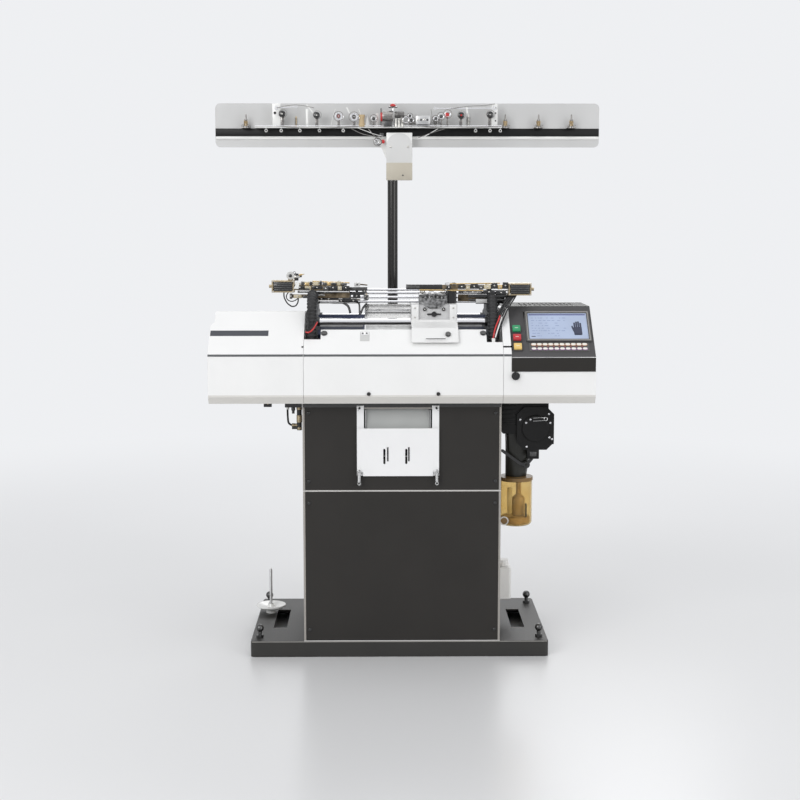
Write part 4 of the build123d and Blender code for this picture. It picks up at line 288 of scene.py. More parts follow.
panel_coat = coated("panel_coat", panel_colour, 0.55, 0.10, 0.3, gloss=0.35)
frame_coat = coated("frame_coat", frame_colour, 0.4)
fold_line = coated("fold_line", fold_colour, 0.35)
screw_black = coated("screw_black", (0.012, 0.012, 0.012), 0.22, 0.2, lacquer=0.4)
dress(frame_coat, "cabinet_frame", "electronics_box", "body_tray")
dress(panel_coat, "lower_front_panel", "upper_front_panel", "rear_panel")
dress(screw_black, "sheet_screws")
cabinet_lines = Piece("cabinet_lines", "machine", "frame_grey")
for seam_z, seam in ((507.6, 2.6), (48.6, 2.2)):
    cabinet_lines.block(
        (cabinet_left_x, panel_front_y, seam_z), (cabinet_right_x, panel_front_y + 0.5, seam_z + seam),
        fold_line, 0.2
    )
# The black strip under the body's overhang is painted shadow.
cabinet_lines.block((-286, panel_front_y, 760.0), (300, panel_front_y + 0.6, 783.0), screw_black, 0.1)
cabinet_lines.done()


# Glove chute
# White sheet plate between two white strips, screwed to the upper panel. Two extension springs
# hook on its lower corners, and a grey slide shows in the mouth behind it.
chute_white = coated("chute_white", (0.86, 0.86, 0.86), 0.4, 0.015, 0.1)
slide_grey = coated("slide_grey", (0.42, 0.43, 0.42), 0.4, 0.08)
dress(chute_white, "glove_chute")
dress(bright_steel, "chute_springs", "glove_funnel")
slide = Piece("glove_slide_face", "machine", "frame_grey")
slide.plate(
    [(-99, -244, 690), (89, -244, 690), (89, -222, 782), (-99, -222, 782)], (0, -1, 0), 1.0, slide_grey
)
slide.done()
chute_lip = Piece("chute_lip", "machine", "frame_grey")
# Black plates in the two slots are painted shade in the openings.
for slot_x in (-35.5, 27.0):
    chute_lip.block((slot_x - 2.1, -262.9, 600.0), (slot_x + 2.1, -262.2, 642.0), screw_black, 0.1)
for strip_x in (-123.0, 113.0):
    for screw_z in (760.0, 752.0):
        chute_lip.turned(
            (strip_x, -262.1, screw_z), (0, -1, 0), [(0, 2.2), (0.8, 2.2), (1.3, 1.5)], bright_steel, 16
        )
chute_lip.done()


# Oil tank
# Blow-moulded bottle in milky plastic with its cap, strapped to the right wall.
dress(coated("milky_plastic", (0.90, 0.89, 0.86), 0.35, 0.04), "oil_tank")


# Body covers
# White powder-coated sheet, folded and bevelled below, where the bevel is painted a darker, warmer tone as
# shade. A grey pinstripe runs under the fold, and a plain dark bar is printed on the left cover.
cover_colour = (0.84, 0.84, 0.83)
bevel_shade_colour = (0.67, 0.655, 0.62)
shaded_bevel_top_z = 0.8035
body_front_y = -312.0
face_top_z = 924.0
slope_angle = math.radians(41.5)
slope_normal = Vector((0.0, -math.sin(slope_angle), math.cos(slope_angle)))
stripe_height = 6.4


def over_height(tree, height, axis="Z"):
    """Mask that is 1 above a height of the object, in metres."""
    place = tree.nodes.new("ShaderNodeTexCoord")
    split = tree.nodes.new("ShaderNodeSeparateXYZ")
    above = tree.nodes.new("ShaderNodeMath")
    above.operation = "GREATER_THAN"
    above.inputs[1].default_value = height
    tree.links.new(place.outputs["Object"], split.inputs["Vector"])
    tree.links.new(split.outputs[axis], above.inputs[0])
    return above.outputs[0]


def two_tones(
    name, low_colour, high_colour, height, roughness=0.4, spread=0.03, peel=0.12, metal=(0.0, 0.0)
):
    """Two tones on one piece, the second above a height; on the covers the lower tone is painted shade."""
    material, tree, shader = new_material(name)
    mask = over_height(tree, height)
    slow = grain(tree, 7.0, 2.0)
    mix = tree.nodes.new("ShaderNodeMix")
    mix.data_type = "RGBA"
    tree.links.new(mask, mix.inputs["Factor"])
    for colour, socket in ((low_colour, "A"), (high_colour, "B")):
        tone = between(tree, slow, toned(colour, 1 - spread), toned(colour, 1 + spread), None)
        tree.links.new(tone, mix.inputs[socket])
    tree.links.new(mix.outputs["Result"], shader.inputs["Base Color"])
    if metal != (0.0, 0.0):
        between(tree, mask, metal[0], metal[1], shader.inputs["Metallic"])
    fine = grain(tree, 800.0, 2.0)
    between(tree, fine, roughness * 0.85, roughness * 1.15, shader.inputs["Roughness"])
    relief(tree, shader, fine, peel)
    return material


def on_slope(x, run, above=0.0, front_y=body_front_y, fold_z=face_top_z):
    """Point on a slanted front: X, distance up the slope and height over it."""
    foot = Vector((x, front_y + run * math.cos(slope_angle), fold_z + run * math.sin(slope_angle)))
    return foot + slope_normal * above


def slope_plate(piece, left, right, low, high, finish, thickness=0.4, lift=0.05, place=on_slope, ends=0.0):
    """Thin plate on a slope, with round ends where a radius is given."""
    corners = [(left, low), (right, low), (right, high), (left, high)]
    if ends:
        middle = (low + high) / 2
        angles = [math.radians(-90 + 22.5 * step) for step in range(9)]
        corners = [(right - ends + ends * math.cos(a), middle + ends * math.sin(a)) for a in angles]
        corners += [(left + ends - ends * math.cos(a), middle - ends * math.sin(a)) for a in angles]
    piece.plate([place(x, run, lift) for x, run in corners], slope_normal, thickness, finish)


# The darker, warmer tone below the bevel height is painted shade on the bevel that faces down.
cover_coat = two_tones("cover_coat", bevel_shade_colour, cover_colour, shaded_bevel_top_z, 0.38, 0.015, 0.1)
stripe_ink = coated("stripe_ink", (0.10, 0.105, 0.11), 0.5)
bar_ink = coated("bar_ink", (0.045, 0.05, 0.06), 0.5)
dress(cover_coat, "left_cover", "right_cover", "front_cover", "rear_cover")
prints = Piece("cover_prints", "machine", "base_grey")
for left, right in ((-558.5, -281.8), (-280.2, 301.2), (303.0, 325.2)):
    prints.block(
        (left, body_front_y - 0.35, face_top_z - 1.0 - stripe_height),
        (right, body_front_y - 0.02, face_top_z - 1.0),
        stripe_ink,
        0.0,
    )
slope_plate(prints, -556.5, -386.0, 73.0, 95.0, bar_ink, 0.3)
prints.done()


# Cover knobs and bracket
# Two black dished screws hold the front cover on its slope, and a small pale bracket is
# clipped beside the left one.
black_gloss = coated("black_gloss", (0.010, 0.010, 0.011), 0.2, lacquer=0.4)
zinc = bare_metal("zinc_plate", (0.55, 0.54, 0.51), 0.32, scale=160.0)
pale_alloy = coated("pale_alloy", (0.55, 0.55, 0.54), 0.38)
knob_run = 62.0 / math.cos(slope_angle)
knob_holes = 5
slope_fittings = Piece("slope_fittings", "machine", "black_metal")
for knob_x in (-222.0, 246.0):
    foot = on_slope(knob_x, knob_run, 0.3)
    slope_fittings.turned(
        foot, slope_normal, [(0, 9.5), (2.2, 9.5), (3.2, 8.6), (3.5, 5.0), (2.9, 3.4)], black_gloss, 20
    )
    for step in range(knob_holes):
        angle = 2 * math.pi * step / knob_holes
        spot = foot + slope_normal * 3.3 + Vector((6.2 * math.cos(angle), 0, 0))
        spot += slope_normal.cross(Vector((1, 0, 0))) * 6.2 * math.sin(angle)
        slope_fittings.turned(spot, slope_normal, [(0, 1.2), (0.35, 1.2)], zinc, 8)
slope_fittings.done()
slope_bracket = Piece("slope_bracket", "machine", "zinc")
slope_plate(slope_bracket, -116, -89, 52, 88, pale_alloy, 1.2, 0.1)
slope_plate(slope_bracket, -114, -91, 76, 87, bright_steel, 0.8, 1.3)
for screw_x in (-109, -97):
    slope_bracket.turned(
        on_slope(screw_x, 81.5, 2.1), slope_normal, [(0, 3.0), (0.8, 3.0), (1.1, 2.2)], oxide, 14
    )
slope_bracket.done()


# Needle beds
# Two ground steel plates set as a roof, with a hold-down strip screwed over each, dark blue
# bars in front, and a comb of thin sinkers over the gap between them.
bed_left_x = -101.0
trick_y = -60.0
trick_z = 1054.0
needle_pitch = 3.63
needle_count = 71
bed_lean = math.sin(math.radians(45))

ground_steel = bare_metal("ground_steel", (0.52, 0.52, 0.52), 0.28, (0.05, 1.0, 1.0), 420.0)
needle_steel = bare_metal("needle_steel", (0.70, 0.69, 0.66), 0.22, (1.0, 0.05, 0.05), 500.0)
blue_coat = coated("blue_coat", (0.050, 0.062, 0.115), 0.35, 0.15)
bracket_paint = coated("bracket_paint", (0.085, 0.087, 0.09), 0.5, 0.2, 0.4, 300.0)
dress(ground_steel, "needle_beds")
dress(needle_steel, "needles")
dress(blue_coat, "bed_bars")
dress(bracket_paint, "end_brackets")
combs = Piece("sinker_combs", "machine", "steel")
for side in (-1, 1):
    sinker_y = trick_y + side * (4 + 3.0 * bed_lean)
    for index in range(needle_count):
        sinker_x = bed_left_x - 0.45 + index * needle_pitch
        combs.block(
            (sinker_x, sinker_y - 2.5, 1052.1), (sinker_x + 0.9, sinker_y + 2.5, 1054.5), needle_steel, 0.0
        )
combs.done()
hold_downs = Piece("hold_down_screws", "machine", "zinc")
for side in (-1, 1):
    for screw_x in (-92, -30, 33, 96, 144):
        reach = 33.5 * bed_lean
        hold_downs.turned(
            (screw_x, trick_y + side * (4 + reach), trick_z - 25.5 * bed_lean), (0, side, 1),
            [(0, 2.4), (1.4, 2.4), (1.9, 1.8)], zinc, 14,
        )
hold_downs.done()


# Carriage rods and feeder rails
# Chromed rods with clamping collars at the end brackets. Four thin rails above them carry the
# yarn feeders.
rails = [(-88.0, 1063.8), (-70.0, 1076.0), (-50.0, 1088.3), (-32.0, 1096.8)]
rod_z = 1008.0

chrome = bare_metal("chrome", (0.80, 0.80, 0.82), 0.10, (0.05, 1.0, 1.0), 500.0, 0.05)
dress(chrome, "guide_rods")
collars = Piece("rod_collars", "machine", "steel")
for collar_x, direction in ((-246.0, 1), (264.0, -1)):
    for rod_y in (-165.0, 45.0):
        collars.turned(
            (collar_x, rod_y, rod_z), (direction, 0, 0), [(0, 14), (7, 14), (8, 12.6), (8, 10.1)], oxide, 28
        )
    for rail_y, rail_z in rails:
        collars.turned(
            (collar_x, rail_y, rail_z), (direction, 0, 0), [(0, 6.4), (1.0, 6.4), (1.2, 4.1)], zinc, 20
        )
collars.done()


# Carriage
# Pale cast saddles on the rods, a rough ribbed aluminium head, a black bow over the beds, and
# a white sheet apron down the front slope with its slot, thumb screw and cam lever.
saddle_front_y = -190.0

saddle_paint = coated("saddle_paint", (0.60, 0.60, 0.60), 0.4, 0.06, 0.35, 400.0)
head_cast = bare_metal("rough_casting", (0.22, 0.22, 0.22), 0.38, (1.0, 1.0, 1.0), 110.0, 0.85, 1.0)
apron_white = coated("apron_white", (0.80, 0.80, 0.79), 0.38, 0.015, 0.1)
dress(saddle_paint, "carriage_saddles")
dress(head_cast, "carriage_head")
dress(black_gloss, "carriage_bow", "cam_lever")
dress(apron_white, "carriage_apron")
dress(oxide, "apron_thumb_screw")
head_ribs = Piece("carriage_head_ribs", "carriage", "casting")
# Black sheets at the back of the gaps between the ribs are painted shade.
for rib_x in (66, 78, 90, 102, 114, 126):
    head_ribs.block(
        (rib_x - 2.2, -184, 1064), (rib_x + 2.2, -177.4, 1088 - abs(rib_x - 99) * 0.16), head_cast, 0.8
    )
    head_ribs.block((rib_x + 3.0, -178.6, 1066), (rib_x + 8.6, -177.0, 1084), screw_black, 0.4)
head_ribs.block((61, -186, 1086), (138, -176, 1091), head_cast, 1.2)
head_ribs.turned((99, -178.5, 1078), (0, -1, 0), [(0, 6.5), (6, 6.5), (7, 5.0)], oxide)
for bolt_x in (68, 130):
    head_ribs.turned((bolt_x, -140, 1091), (0, 0, 1), [(0, 7), (5, 7), (6, 5.5)], zinc, 6)
    head_ribs.turned((bolt_x, -184, 1070), (0, -1, 0), [(0, 3.2), (2.0, 3.2), (2.6, 2.4)], zinc, 18)
for stud_x in (78, 92, 106, 120):
    head_ribs.turned((stud_x, -150, 1084), (0, 0, 1), [(0, 4), (9, 4), (10, 2.8)], oxide, 16)
head_ribs.done()
side_plates = Piece("carriage_side_plates", "carriage", "white_sheet")
for left, right in ((36, 57), (150, 171)):
    side_plates.block(
        (left, saddle_front_y - 3, 1012), (right, saddle_front_y - 0.1, 1060), apron_white, 1.0
    )
    for screw_z in (1022, 1050):
        screw_foot = ((left + right) / 2, saddle_front_y - 3, screw_z)
        side_plates.turned(screw_foot, (0, -1, 0), [(0, 2.6), (1.5, 2.6), (2.1, 2.0)], zinc, 16)
for bolt_x in (75.5, 131.5):
    side_plates.turned(
        (bolt_x, -188.1, 1046), (0, -1, 0), [(0, 5.8), (1.2, 5.8), (1.8, 4.8)], black_gloss, 22
    )
    side_plates.turned((bolt_x, -189.9, 1046), (0, -1, 0), [(0, 2.4), (0.2, 2.4)], zinc, 6)
side_plates.done()
apron_slot = Piece("apron_slot", "carriage", "black_metal")
slope_plate(apron_slot, 76, 134, 44, 46.8, black_gloss, 0.4, 16.3)
apron_slot.done()


# Carriage drive
# Black motor on its bracket, steel toothed pulleys and a black rubber belt behind the covers.
rubber = coated("black_rubber", (0.014, 0.014, 0.015), 0.6, 0.15, 0.4, 500.0)
dress(black_gloss, "carriage_drive")
dress(ground_steel, "drive_pulley", "idler_pulley")
dress(rubber, "drive_belt")


# Yarn feeders
# Steel blocks that slide on the rails, each with a black clamp plate, a brass pad on top and a
# polished nozzle at the needles.
brass = bare_metal("brass", (0.56, 0.41, 0.20), 0.30, scale=200.0, spread=0.25)
dress(ground_steel, "feeder_left", "feeder_middle", "feeder_right")
for name, feeder_x, rail, tip_y in (
    ("feeder_left", -100.0, 1, trick_y - 6),
    ("feeder_middle", 72.0, 2, trick_y),
    ("feeder_right", 100.0, 3, trick_y + 7),
):
    rail_y, rail_z = rails[rail]
    feeder_face_y = rail_y - 7.6
    feeder = Piece(name + "_fittings", name, "steel")
    feeder.block(
        (feeder_x - 6.5, feeder_face_y - 2.2, rail_z - 6.5), (feeder_x + 6.5, feeder_face_y, rail_z + 6.5),
        oxide,
    )
    for screw_x, screw_z in ((feeder_x - 3.4, rail_z + 3), (feeder_x + 3.4, rail_z - 3)):
        feeder.turned(
            (screw_x, feeder_face_y - 2.2, screw_z), (0, -1, 0), [(0, 1.9), (1.1, 1.9), (1.5, 1.4)], zinc,
            14
        )
    feeder.block(
        (feeder_x - 3, rail_y - 3, rail_z + 7.4), (feeder_x + 3, rail_y + 3, rail_z + 9.5), brass, 0.5
    )
    feeder.turned((feeder_x, tip_y, 1057.0), (0, 0, 1), [(0, 1.2), (3, 1.9), (9, 1.9)], chrome, 14)
    feeder.done()


# Solenoids
# Open frames in yellow-passivated steel around black ribbed coils, with a black terminal
# plate in front and a screw in each corner.
passivated = bare_metal("passivated_steel", (0.40, 0.33, 0.22), 0.36, scale=160.0, spread=0.25)
coil_places = ((-384, -316, -110, 1111), (325, 393, -170, 1105))
coil_ribs = 9

dress(passivated, "solenoids")
windings = Piece("solenoid_windings", "machine", "black_plastic")
for left, right, coil_y, coil_z in coil_places:
    for step in range(coil_ribs):
        windings.turned(
            (left + 8 + step * 5.75, coil_y, coil_z), (1, 0, 0),
            [(0, 12.6), (0.8, 14.6), (4.6, 14.6), (5.4, 12.6)],
            black_gloss, 28,
        )
    windings.block(
        (left + 6, coil_y - 21.6, coil_z - 13), (right - 6, coil_y - 15, coil_z + 13), black_gloss, 1.0
    )
    for rib_z in (coil_z - 10, coil_z - 3.5, coil_z + 3, coil_z + 9.5):
        windings.block(
            (left + 7, coil_y - 22.4, rib_z - 1.3), (right - 7, coil_y - 21.2, rib_z + 1.3), oxide, 0.4
        )
    for screw_x in (left + 4, right - 4):
        for screw_z in (coil_z - 15.5, coil_z + 15.5):
            windings.turned(
                (screw_x, coil_y - 20, screw_z), (0, -1, 0), [(0, 2.1), (1.2, 2.1), (1.7, 1.5)], zinc, 14
            )
windings.done()


# Left arm
# Machined bar that carries the left solenoid, the guide wheel and the knife and clamp levers:
# dark steel with cream and brass blocks, fine springs and many small cap screws.
arm_bronze = bare_metal("dark_bronze", (0.17, 0.135, 0.09), 0.42, scale=60.0, spread=0.65, depth=0.4)
cream_paint = coated("cream_paint", (0.50, 0.44, 0.31), 0.4, 0.22, 0.3)


def smooth_route(points, resolution=8):
    """Points along one smooth NURBS line through a route."""
    curve = bpy.data.curves.new("route", "CURVE")
    curve.dimensions = "3D"
    spline = curve.splines.new("NURBS")
    spline.points.add(len(points) - 1)
    for target, point in zip(spline.points, points):
        target.co = (*point, 1.0)
    spline.order_u = 3
    spline.use_endpoint_u = True
    spline.resolution_u = resolution
    holder = bpy.data.objects.new("route", curve)
    mesh = bpy.data.meshes.new_from_object(holder)
    path = [vertex.co.copy() for vertex in mesh.vertices]
    bpy.data.objects.remove(holder)
    bpy.data.curves.remove(curve)
    bpy.data.meshes.remove(mesh)
    return path


def wire(piece, path, radii, finish, sides=10):
    """Round wire along a path: a circle is extruded from point to point, with a radius at each."""
    part = bmesh.new()
    ring = bmesh.ops.create_circle(part, cap_ends=True, segments=sides, radius=radii[0])["verts"]
    axis = Vector((0, 0, 1))
    heading = (path[1] - path[0]).normalized()
    turn = axis.rotation_difference(heading).to_matrix().to_4x4()
    bmesh.ops.transform(part, matrix=Matrix.Translation(path[0]) @ turn, verts=ring)
    for index in range(1, len(path)):
        ahead = path[min(index + 1, len(path) - 1)] - path[index - 1]
        turn = heading.rotation_difference(ahead).to_matrix().to_4x4()
        heading = ahead.normalized()
        loop = [line for line in part.edges if line.is_boundary] if index > 1 else list(part.edges)
        grown = bmesh.ops.extrude_edge_only(part, edges=loop)["geom"]
        ring = [item for item in grown if isinstance(item, bmesh.types.BMVert)]
        size = Matrix.Scale(radii[index] / radii[index - 1], 4)
        move = Matrix.Translation(path[index]) @ turn @ size @ Matrix.Translation(-path[index - 1])
        bmesh.ops.transform(part, matrix=move, verts=ring)
    part.faces.new(ring)
    piece.join(part, Matrix.Identity(4), finish)


def cable(piece, points, radius, finish, sides=10):
    path = smooth_route(points)
    wire(piece, path, [radius] * len(path), finish, sides)


def spring(piece, start, axis, length, radius, gauge, turns, finish, steps=10):
    """Open coil spring along an axis."""
    turn = Vector(axis).to_track_quat("Z", "Y").to_matrix()
    count = int(turns * steps)
    path = []
    for step in range(count + 1):
        angle = 2 * math.pi * step / steps
        spot = Vector((radius * math.cos(angle), radius * math.sin(angle), length * step / count))
        path.append(Vector(start) + turn @ spot)
    wire(piece, path, [gauge] * len(path), finish, 5)


def eye(piece, centre, axis, radius, gauge, finish, steps=26):
    """Closed wire ring."""
    part = bmesh.new()
    ring = bmesh.ops.create_circle(part, segments=7, radius=gauge)["verts"]
    side = Matrix.Translation((radius, 0, 0)) @ Matrix.Rotation(math.pi / 2, 4, "X")
    bmesh.ops.transform(part, matrix=side, verts=ring)
    bmesh.ops.spin(
        part, geom=part.verts[:] + part.edges[:], cent=(0, 0, 0), axis=(0, 0, 1),
        angle=2 * math.pi, steps=steps, use_merge=True,
    )
    turn = Vector(axis).to_track_quat("Z", "Y").to_matrix().to_4x4()
    piece.join(part, Matrix.Translation(centre) @ turn, finish)


front = Vector((0, -1, 0))
cap_profile = [(0, 2.6), (1.4, 2.6), (1.9, 2.0)]
stud_profile = [(0, 2.2), (1.2, 2.2), (1.6, 1.6)]
arm_face_y = -130.5
dress(arm_bronze, "side_arms")
dress(pale_alloy, "guide_wheel")
dress(rubber, "control_cable")
left_arm = Piece("left_arm_fittings", "machine", "cream")
left_arm.turned((-328, -117.6, 1143), front, [(0, 4.8), (1.6, 4.8), (2.4, 3.4)], black_gloss, 22)
left_arm.block((-316, -114, 1128), (-304, -104, 1150), black_gloss, 1.2)
left_arm.block((-308, -113, 1138), (-294, -105, 1146), oxide, 1.0)
left_arm.block((-318, -116, 1136), (-300, -106, 1143), zinc, 1.0)
left_arm.turned((-302, -111, 1144), (1, 0, 0.25), [(0, 3.6), (7, 3.0), (11, 1.3), (16, 1.1)], brass, 16)
left_arm.rod((-316, -111, 1129), (-316, -111, 1150), 1.6, bright_steel)
eye(left_arm, (-316, -111, 1152), front, 3.4, 0.8, oxide)
arm_blocks = (
    (-312, 14, 6, cream_paint), (-296, 9, 9, oxide), (-284, 12, 5, brass), (-270, 8, 9, black_gloss),
    (-259, 16, 7, cream_paint), (-240, 7, 11, black_gloss), (-231, 12, 6, oxide), (-216, 9, 8, brass),
    (-204, 14, 6, black_gloss), (-187, 10, 10, cream_paint), (-174, 16, 5, oxide),
)
for block_x, width, rise, look in arm_blocks:
    left_arm.block((block_x, -127, 1114), (block_x + width, -108, 1116 + rise), look, 0.8)
    left_arm.turned((block_x + width / 2, -117, 1116 + rise), (0, 0, 1), cap_profile, zinc, 14)
for block_x, width, low, high, look in (
    (-312, 26, 1104, 1113, black_gloss), (-284, 18, 1100, 1112, cream_paint),
    (-262, 30, 1103, 1113, black_gloss), (-229, 16, 1099, 1111, oxide), (-210, 22, 1102, 1113, black_gloss),
    (-185, 12, 1100, 1112, cream_paint), (-170, 18, 1103, 1112, black_gloss),
    (-306, 40, 1092, 1099, black_gloss), (-262, 12, 1088, 1099, cream_paint),
    (-247, 46, 1090, 1098, black_gloss), (-198, 26, 1093, 1099, oxide), (-170, 22, 1093, 1099, black_gloss),
    (-330, 8, 1074, 1090, oxide), (-318, 24, 1076, 1086, cream_paint), (-290, 30, 1076, 1084, black_gloss),
):
    left_arm.block((block_x, arm_face_y, low), (block_x + width, -124, high), look, 0.8)
    left_arm.turned((block_x + width / 2, arm_face_y, (low + high) / 2), front, stud_profile, zinc, 12)
left_arm.rod((-300, -133, 1097), (-150, -133, 1095), 2.0, bright_steel)
left_arm.rod((-262, -114, 1126), (-150, -112, 1121), 2.0, brass)
spring(left_arm, (-262, -134, 1086), (1, 0, 0), 38, 3.2, 0.6, 13, bright_steel)
spring(left_arm, (-300, -134, 1104), (1, 0, 0), 30, 2.8, 0.6, 10, oxide)
left_arm.block((-296, -122, 1118), (-236, -110, 1125), cream_paint, 1.0)
left_arm.block((-228, -122, 1116), (-172, -110, 1123), cream_paint, 1.0)
left_arm.block((-222, -126, 1099), (-150, -112, 1113), black_gloss, 1.2)
left_arm.plate(
    [(-318, -132, 1105), (-306, -132, 1128), (-300, -132, 1121), (-303, -132, 1104)], front, 1.6, enamel
)
cable(
    left_arm,
    [(-330, -116, 1098), (-342, -122, 1086), (-338, -128, 1070), (-318, -128, 1064), (-304, -124, 1076)],
    1.6, rubber,
)
left_arm.done()
left_levers = Piece("left_clamp_levers", "machine", "black_metal")
for low, high, look in (
    ((-246, -84, 1069), (-184, -62, 1075), black_gloss),
    ((-184, -92, 1062), (-128, -80.5, 1072), black_gloss),
    ((-172, -98, 1071), (-146, -82, 1086), oxide), ((-140, -98, 1074), (-118, -84, 1088), black_gloss),
    ((-132, -96, 1088), (-124, -86, 1104), black_gloss), ((-112, -96, 1090), (-98, -84, 1102), oxide),
):
    left_levers.block(low, high, look, 0.8)
for screw_x, screw_z in (
    (-236, 1072), (-214, 1072), (-176, 1067), (-160, 1079), (-139, 1067), (-129, 1081), (-105, 1096)
):
    left_levers.turned((screw_x, -98.2, screw_z), front, cap_profile, zinc, 14)
for lever_route, gauge in (
    ([(-176, -92, 1062), (-160, -100, 1056), (-151, -104, 1046), (-148, -106, 1028)], 3.6),
    ([(-128, -90, 1064), (-121, -96, 1058), (-120, -100, 1046), (-120, -102, 1024)], 2.8),
    ([(-98, -98, 1058), (-108, -101, 1048), (-113, -103, 1038), (-118, -104, 1024)], 3.2),
):
    cable(left_levers, lever_route, gauge, black_gloss)
spring(left_levers, (-206, -98, 1060), (1, 0, 0), 34, 3.2, 0.6, 12, bright_steel)
left_levers.block((-160, -104, 1098), (-96, -94, 1108), oxide, 1.2)
left_levers.block((-150, -104, 1084), (-104, -96, 1094), black_gloss, 1.2)
left_levers.block((-136, -104, 1110), (-118, -94, 1122), pale_alloy, 1.6)
left_levers.turned((-127, -104, 1116), front, cap_profile, oxide, 16)
left_levers.rod((-118, -100, 1116), (-96, -100, 1114), 2.0, arm_bronze)
left_levers.rod((-240, -98, 1060), (-130, -98, 1060), 1.4, bright_steel)
left_levers.done()


# Right arm
# The same machined bar on the right, with a long black sleeve, a domed hub, brass rods, and
# at its root the black cluster of the yarn clamps and their springs.
right_face_y = -183.0

right_arm = Piece("right_arm_fittings", "machine", "black_metal")
right_arm.block((20, -177.5, 1104.5), (128, -163.5, 1119.5), black_gloss, 1.2)
right_arm.block((20, -178.3, 1108), (60, -162.8, 1116), oxide, 1.0)
right_arm.turned(
    (163, -170, 1117.5), (0, 0, 1), [(0, 13.5), (2.0, 13.5), (4.6, 10.5), (6.2, 6.0), (6.8, 1.0)], oxide, 28
)
right_arm.rod((60, -181, 1103), (250, -181, 1101), 2.2, brass)
right_arm.rod((150, -180, 1121), (300, -178, 1123), 1.8, brass)
for block_x, width, low, high, look in (
    (128, 22, 1100, 1106, oxide), (140, 14, 1106, 1117, black_gloss), (176, 20, 1106, 1120, black_gloss),
    (198, 12, 1104, 1116, cream_paint), (212, 22, 1107, 1121, black_gloss), (236, 14, 1104, 1117, oxide),
    (252, 20, 1106, 1119, cream_paint), (274, 18, 1107, 1124, black_gloss), (294, 12, 1105, 1118, brass),
    (308, 16, 1106, 1126, black_gloss), (176, 40, 1094, 1101, black_gloss), (220, 26, 1092, 1101, oxide),
    (250, 34, 1093, 1102, black_gloss), (288, 30, 1090, 1101, black_gloss),
):
    right_arm.block((block_x, right_face_y, low), (block_x + width, -174, high), look, 0.8)
    right_arm.turned((block_x + width / 2, right_face_y, (low + high) / 2), front, stud_profile, zinc, 12)
spring(right_arm, (190, -186, 1096), (1, 0, 0), 52, 3.0, 0.6, 16, bright_steel)
right_arm.block((206, -176, 1080), (330, -164, 1090), black_gloss, 1.5)
right_arm.rod((206, -178, 1074), (330, -178, 1073), 2.6, oxide)
right_arm.block((228, -182, 1064), (262, -170, 1076), pale_alloy, 1.5)
right_arm.done()
cluster = Piece("right_lever_cluster", "machine", "black_metal")
for low, high, look in (
    ((232, -116, 1058), (264, -105.5, 1074), black_gloss),
    ((236, -118, 1080), (300, -105.5, 1095), black_gloss),
    ((282, -140, 1060), (318, -112, 1083), black_gloss), ((296, -150, 1078), (330, -120, 1092), oxide),
    ((266, -126, 1060), (284, -108, 1078), oxide), ((214, -100, 1072), (240, -90, 1084), black_gloss),
    ((320, -152, 1062), (334, -134, 1080), black_gloss),
):
    cluster.block(low, high, look, 1.2)
    cluster.turned(((low[0] + high[0]) / 2, low[1], (low[2] + high[2]) / 2), front, cap_profile, zinc, 14)
cluster.rod((238, -110, 1099), (330, -116, 1099), 2.6, bright_steel)
cluster.rod((246, -120, 1066), (318, -142, 1062), 3.0, black_gloss)
spring(cluster, (284, -144, 1056), (1, 0, 0), 34, 3.4, 0.6, 11, bright_steel)
cable(cluster, [(300, -146, 1060), (288, -158, 1046), (272, -170, 1034), (262, -184, 1026)], 3.2, rubber)
cable(cluster, [(322, -150, 1076), (318, -172, 1058), (300, -190, 1040), (284, -204, 1024)], 4.0, rubber)
cluster.done()


# Hoses and loose wires
# Corrugated black rubber hoses with plain cuffs run from the arms down into the body. Short
# red, white and black leads and a small connector lie beside them.
red_plastic = coated("red_plastic", (0.50, 0.02, 0.02), 0.35, lacquer=0.2)
hose_radius = 14.9
hose_groove = 2.6
hose_pitch = 11.0
hose_fall = [(-165, 1085), (-205, 1072), (-226, 1020), (-244, 960), (-250, 870), (-250, 783)]

hoses = Piece("corrugated_hoses", "machine", "rubber")
for hose_x, hose_y in ((-260.0, -125.0), (276.0, -114.0)):
    line = smooth_route([(hose_x, hose_y, 1085.0)] + [(hose_x, y, z) for y, z in hose_fall], 16)
    path = [line[0]]
    for first, last in zip(line, line[1:]):
        parts = max(1, round((last - first).length / (hose_pitch / 5)))
        path += [first.lerp(last, step / parts) for step in range(1, parts + 1)]
    along = 0.0
    radii = [hose_radius]
    for first, last in zip(path, path[1:]):
        along += (last - first).length
        radii.append(hose_radius - hose_groove * (0.5 - 0.5 * math.cos(2 * math.pi * along / hose_pitch)))
    wire(hoses, path, radii, rubber, 20)
    hoses.turned(
        (hose_x, hose_y - 1, 1085.0), front, [(0, 14.9), (0, 16.6), (11, 16.6), (12, 15.5), (12, 14.0)],
        black_gloss, 28,
    )
hoses.done("hoses")
leads = Piece("loose_leads", "machine", "black_plastic")
for points, gauge, look in (
    (
        [(-276, -268, 985), (-268, -272, 982), (-256, -270, 990), (-248, -262, 1001), (-242, -246, 1012)],
        2.2, red_plastic,
    ),
    ([(-272, -262, 994), (-262, -266, 990), (-250, -258, 1004), (-246, -240, 1018)], 1.6, rubber),
    ([(-268, -240, 1050), (-278, -244, 1030), (-266, -252, 1010), (-272, -256, 990)], 2.4, rubber),
    (
        [(296, -236, 1030), (290, -246, 1014), (281, -254, 996), (276, -262, 974), (274, -266, 962)], 2.4,
        red_plastic,
    ),
    ([(302, -232, 1026), (294, -246, 1006), (286, -256, 984), (281, -264, 968)], 2.0, enamel),
):
    cable(leads, points, gauge, look)
leads.block((270, -272, 950), (280, -262, 966), enamel, 1.0)
leads.block((271, -272.6, 944), (279, -263, 951), red_plastic, 1.0)
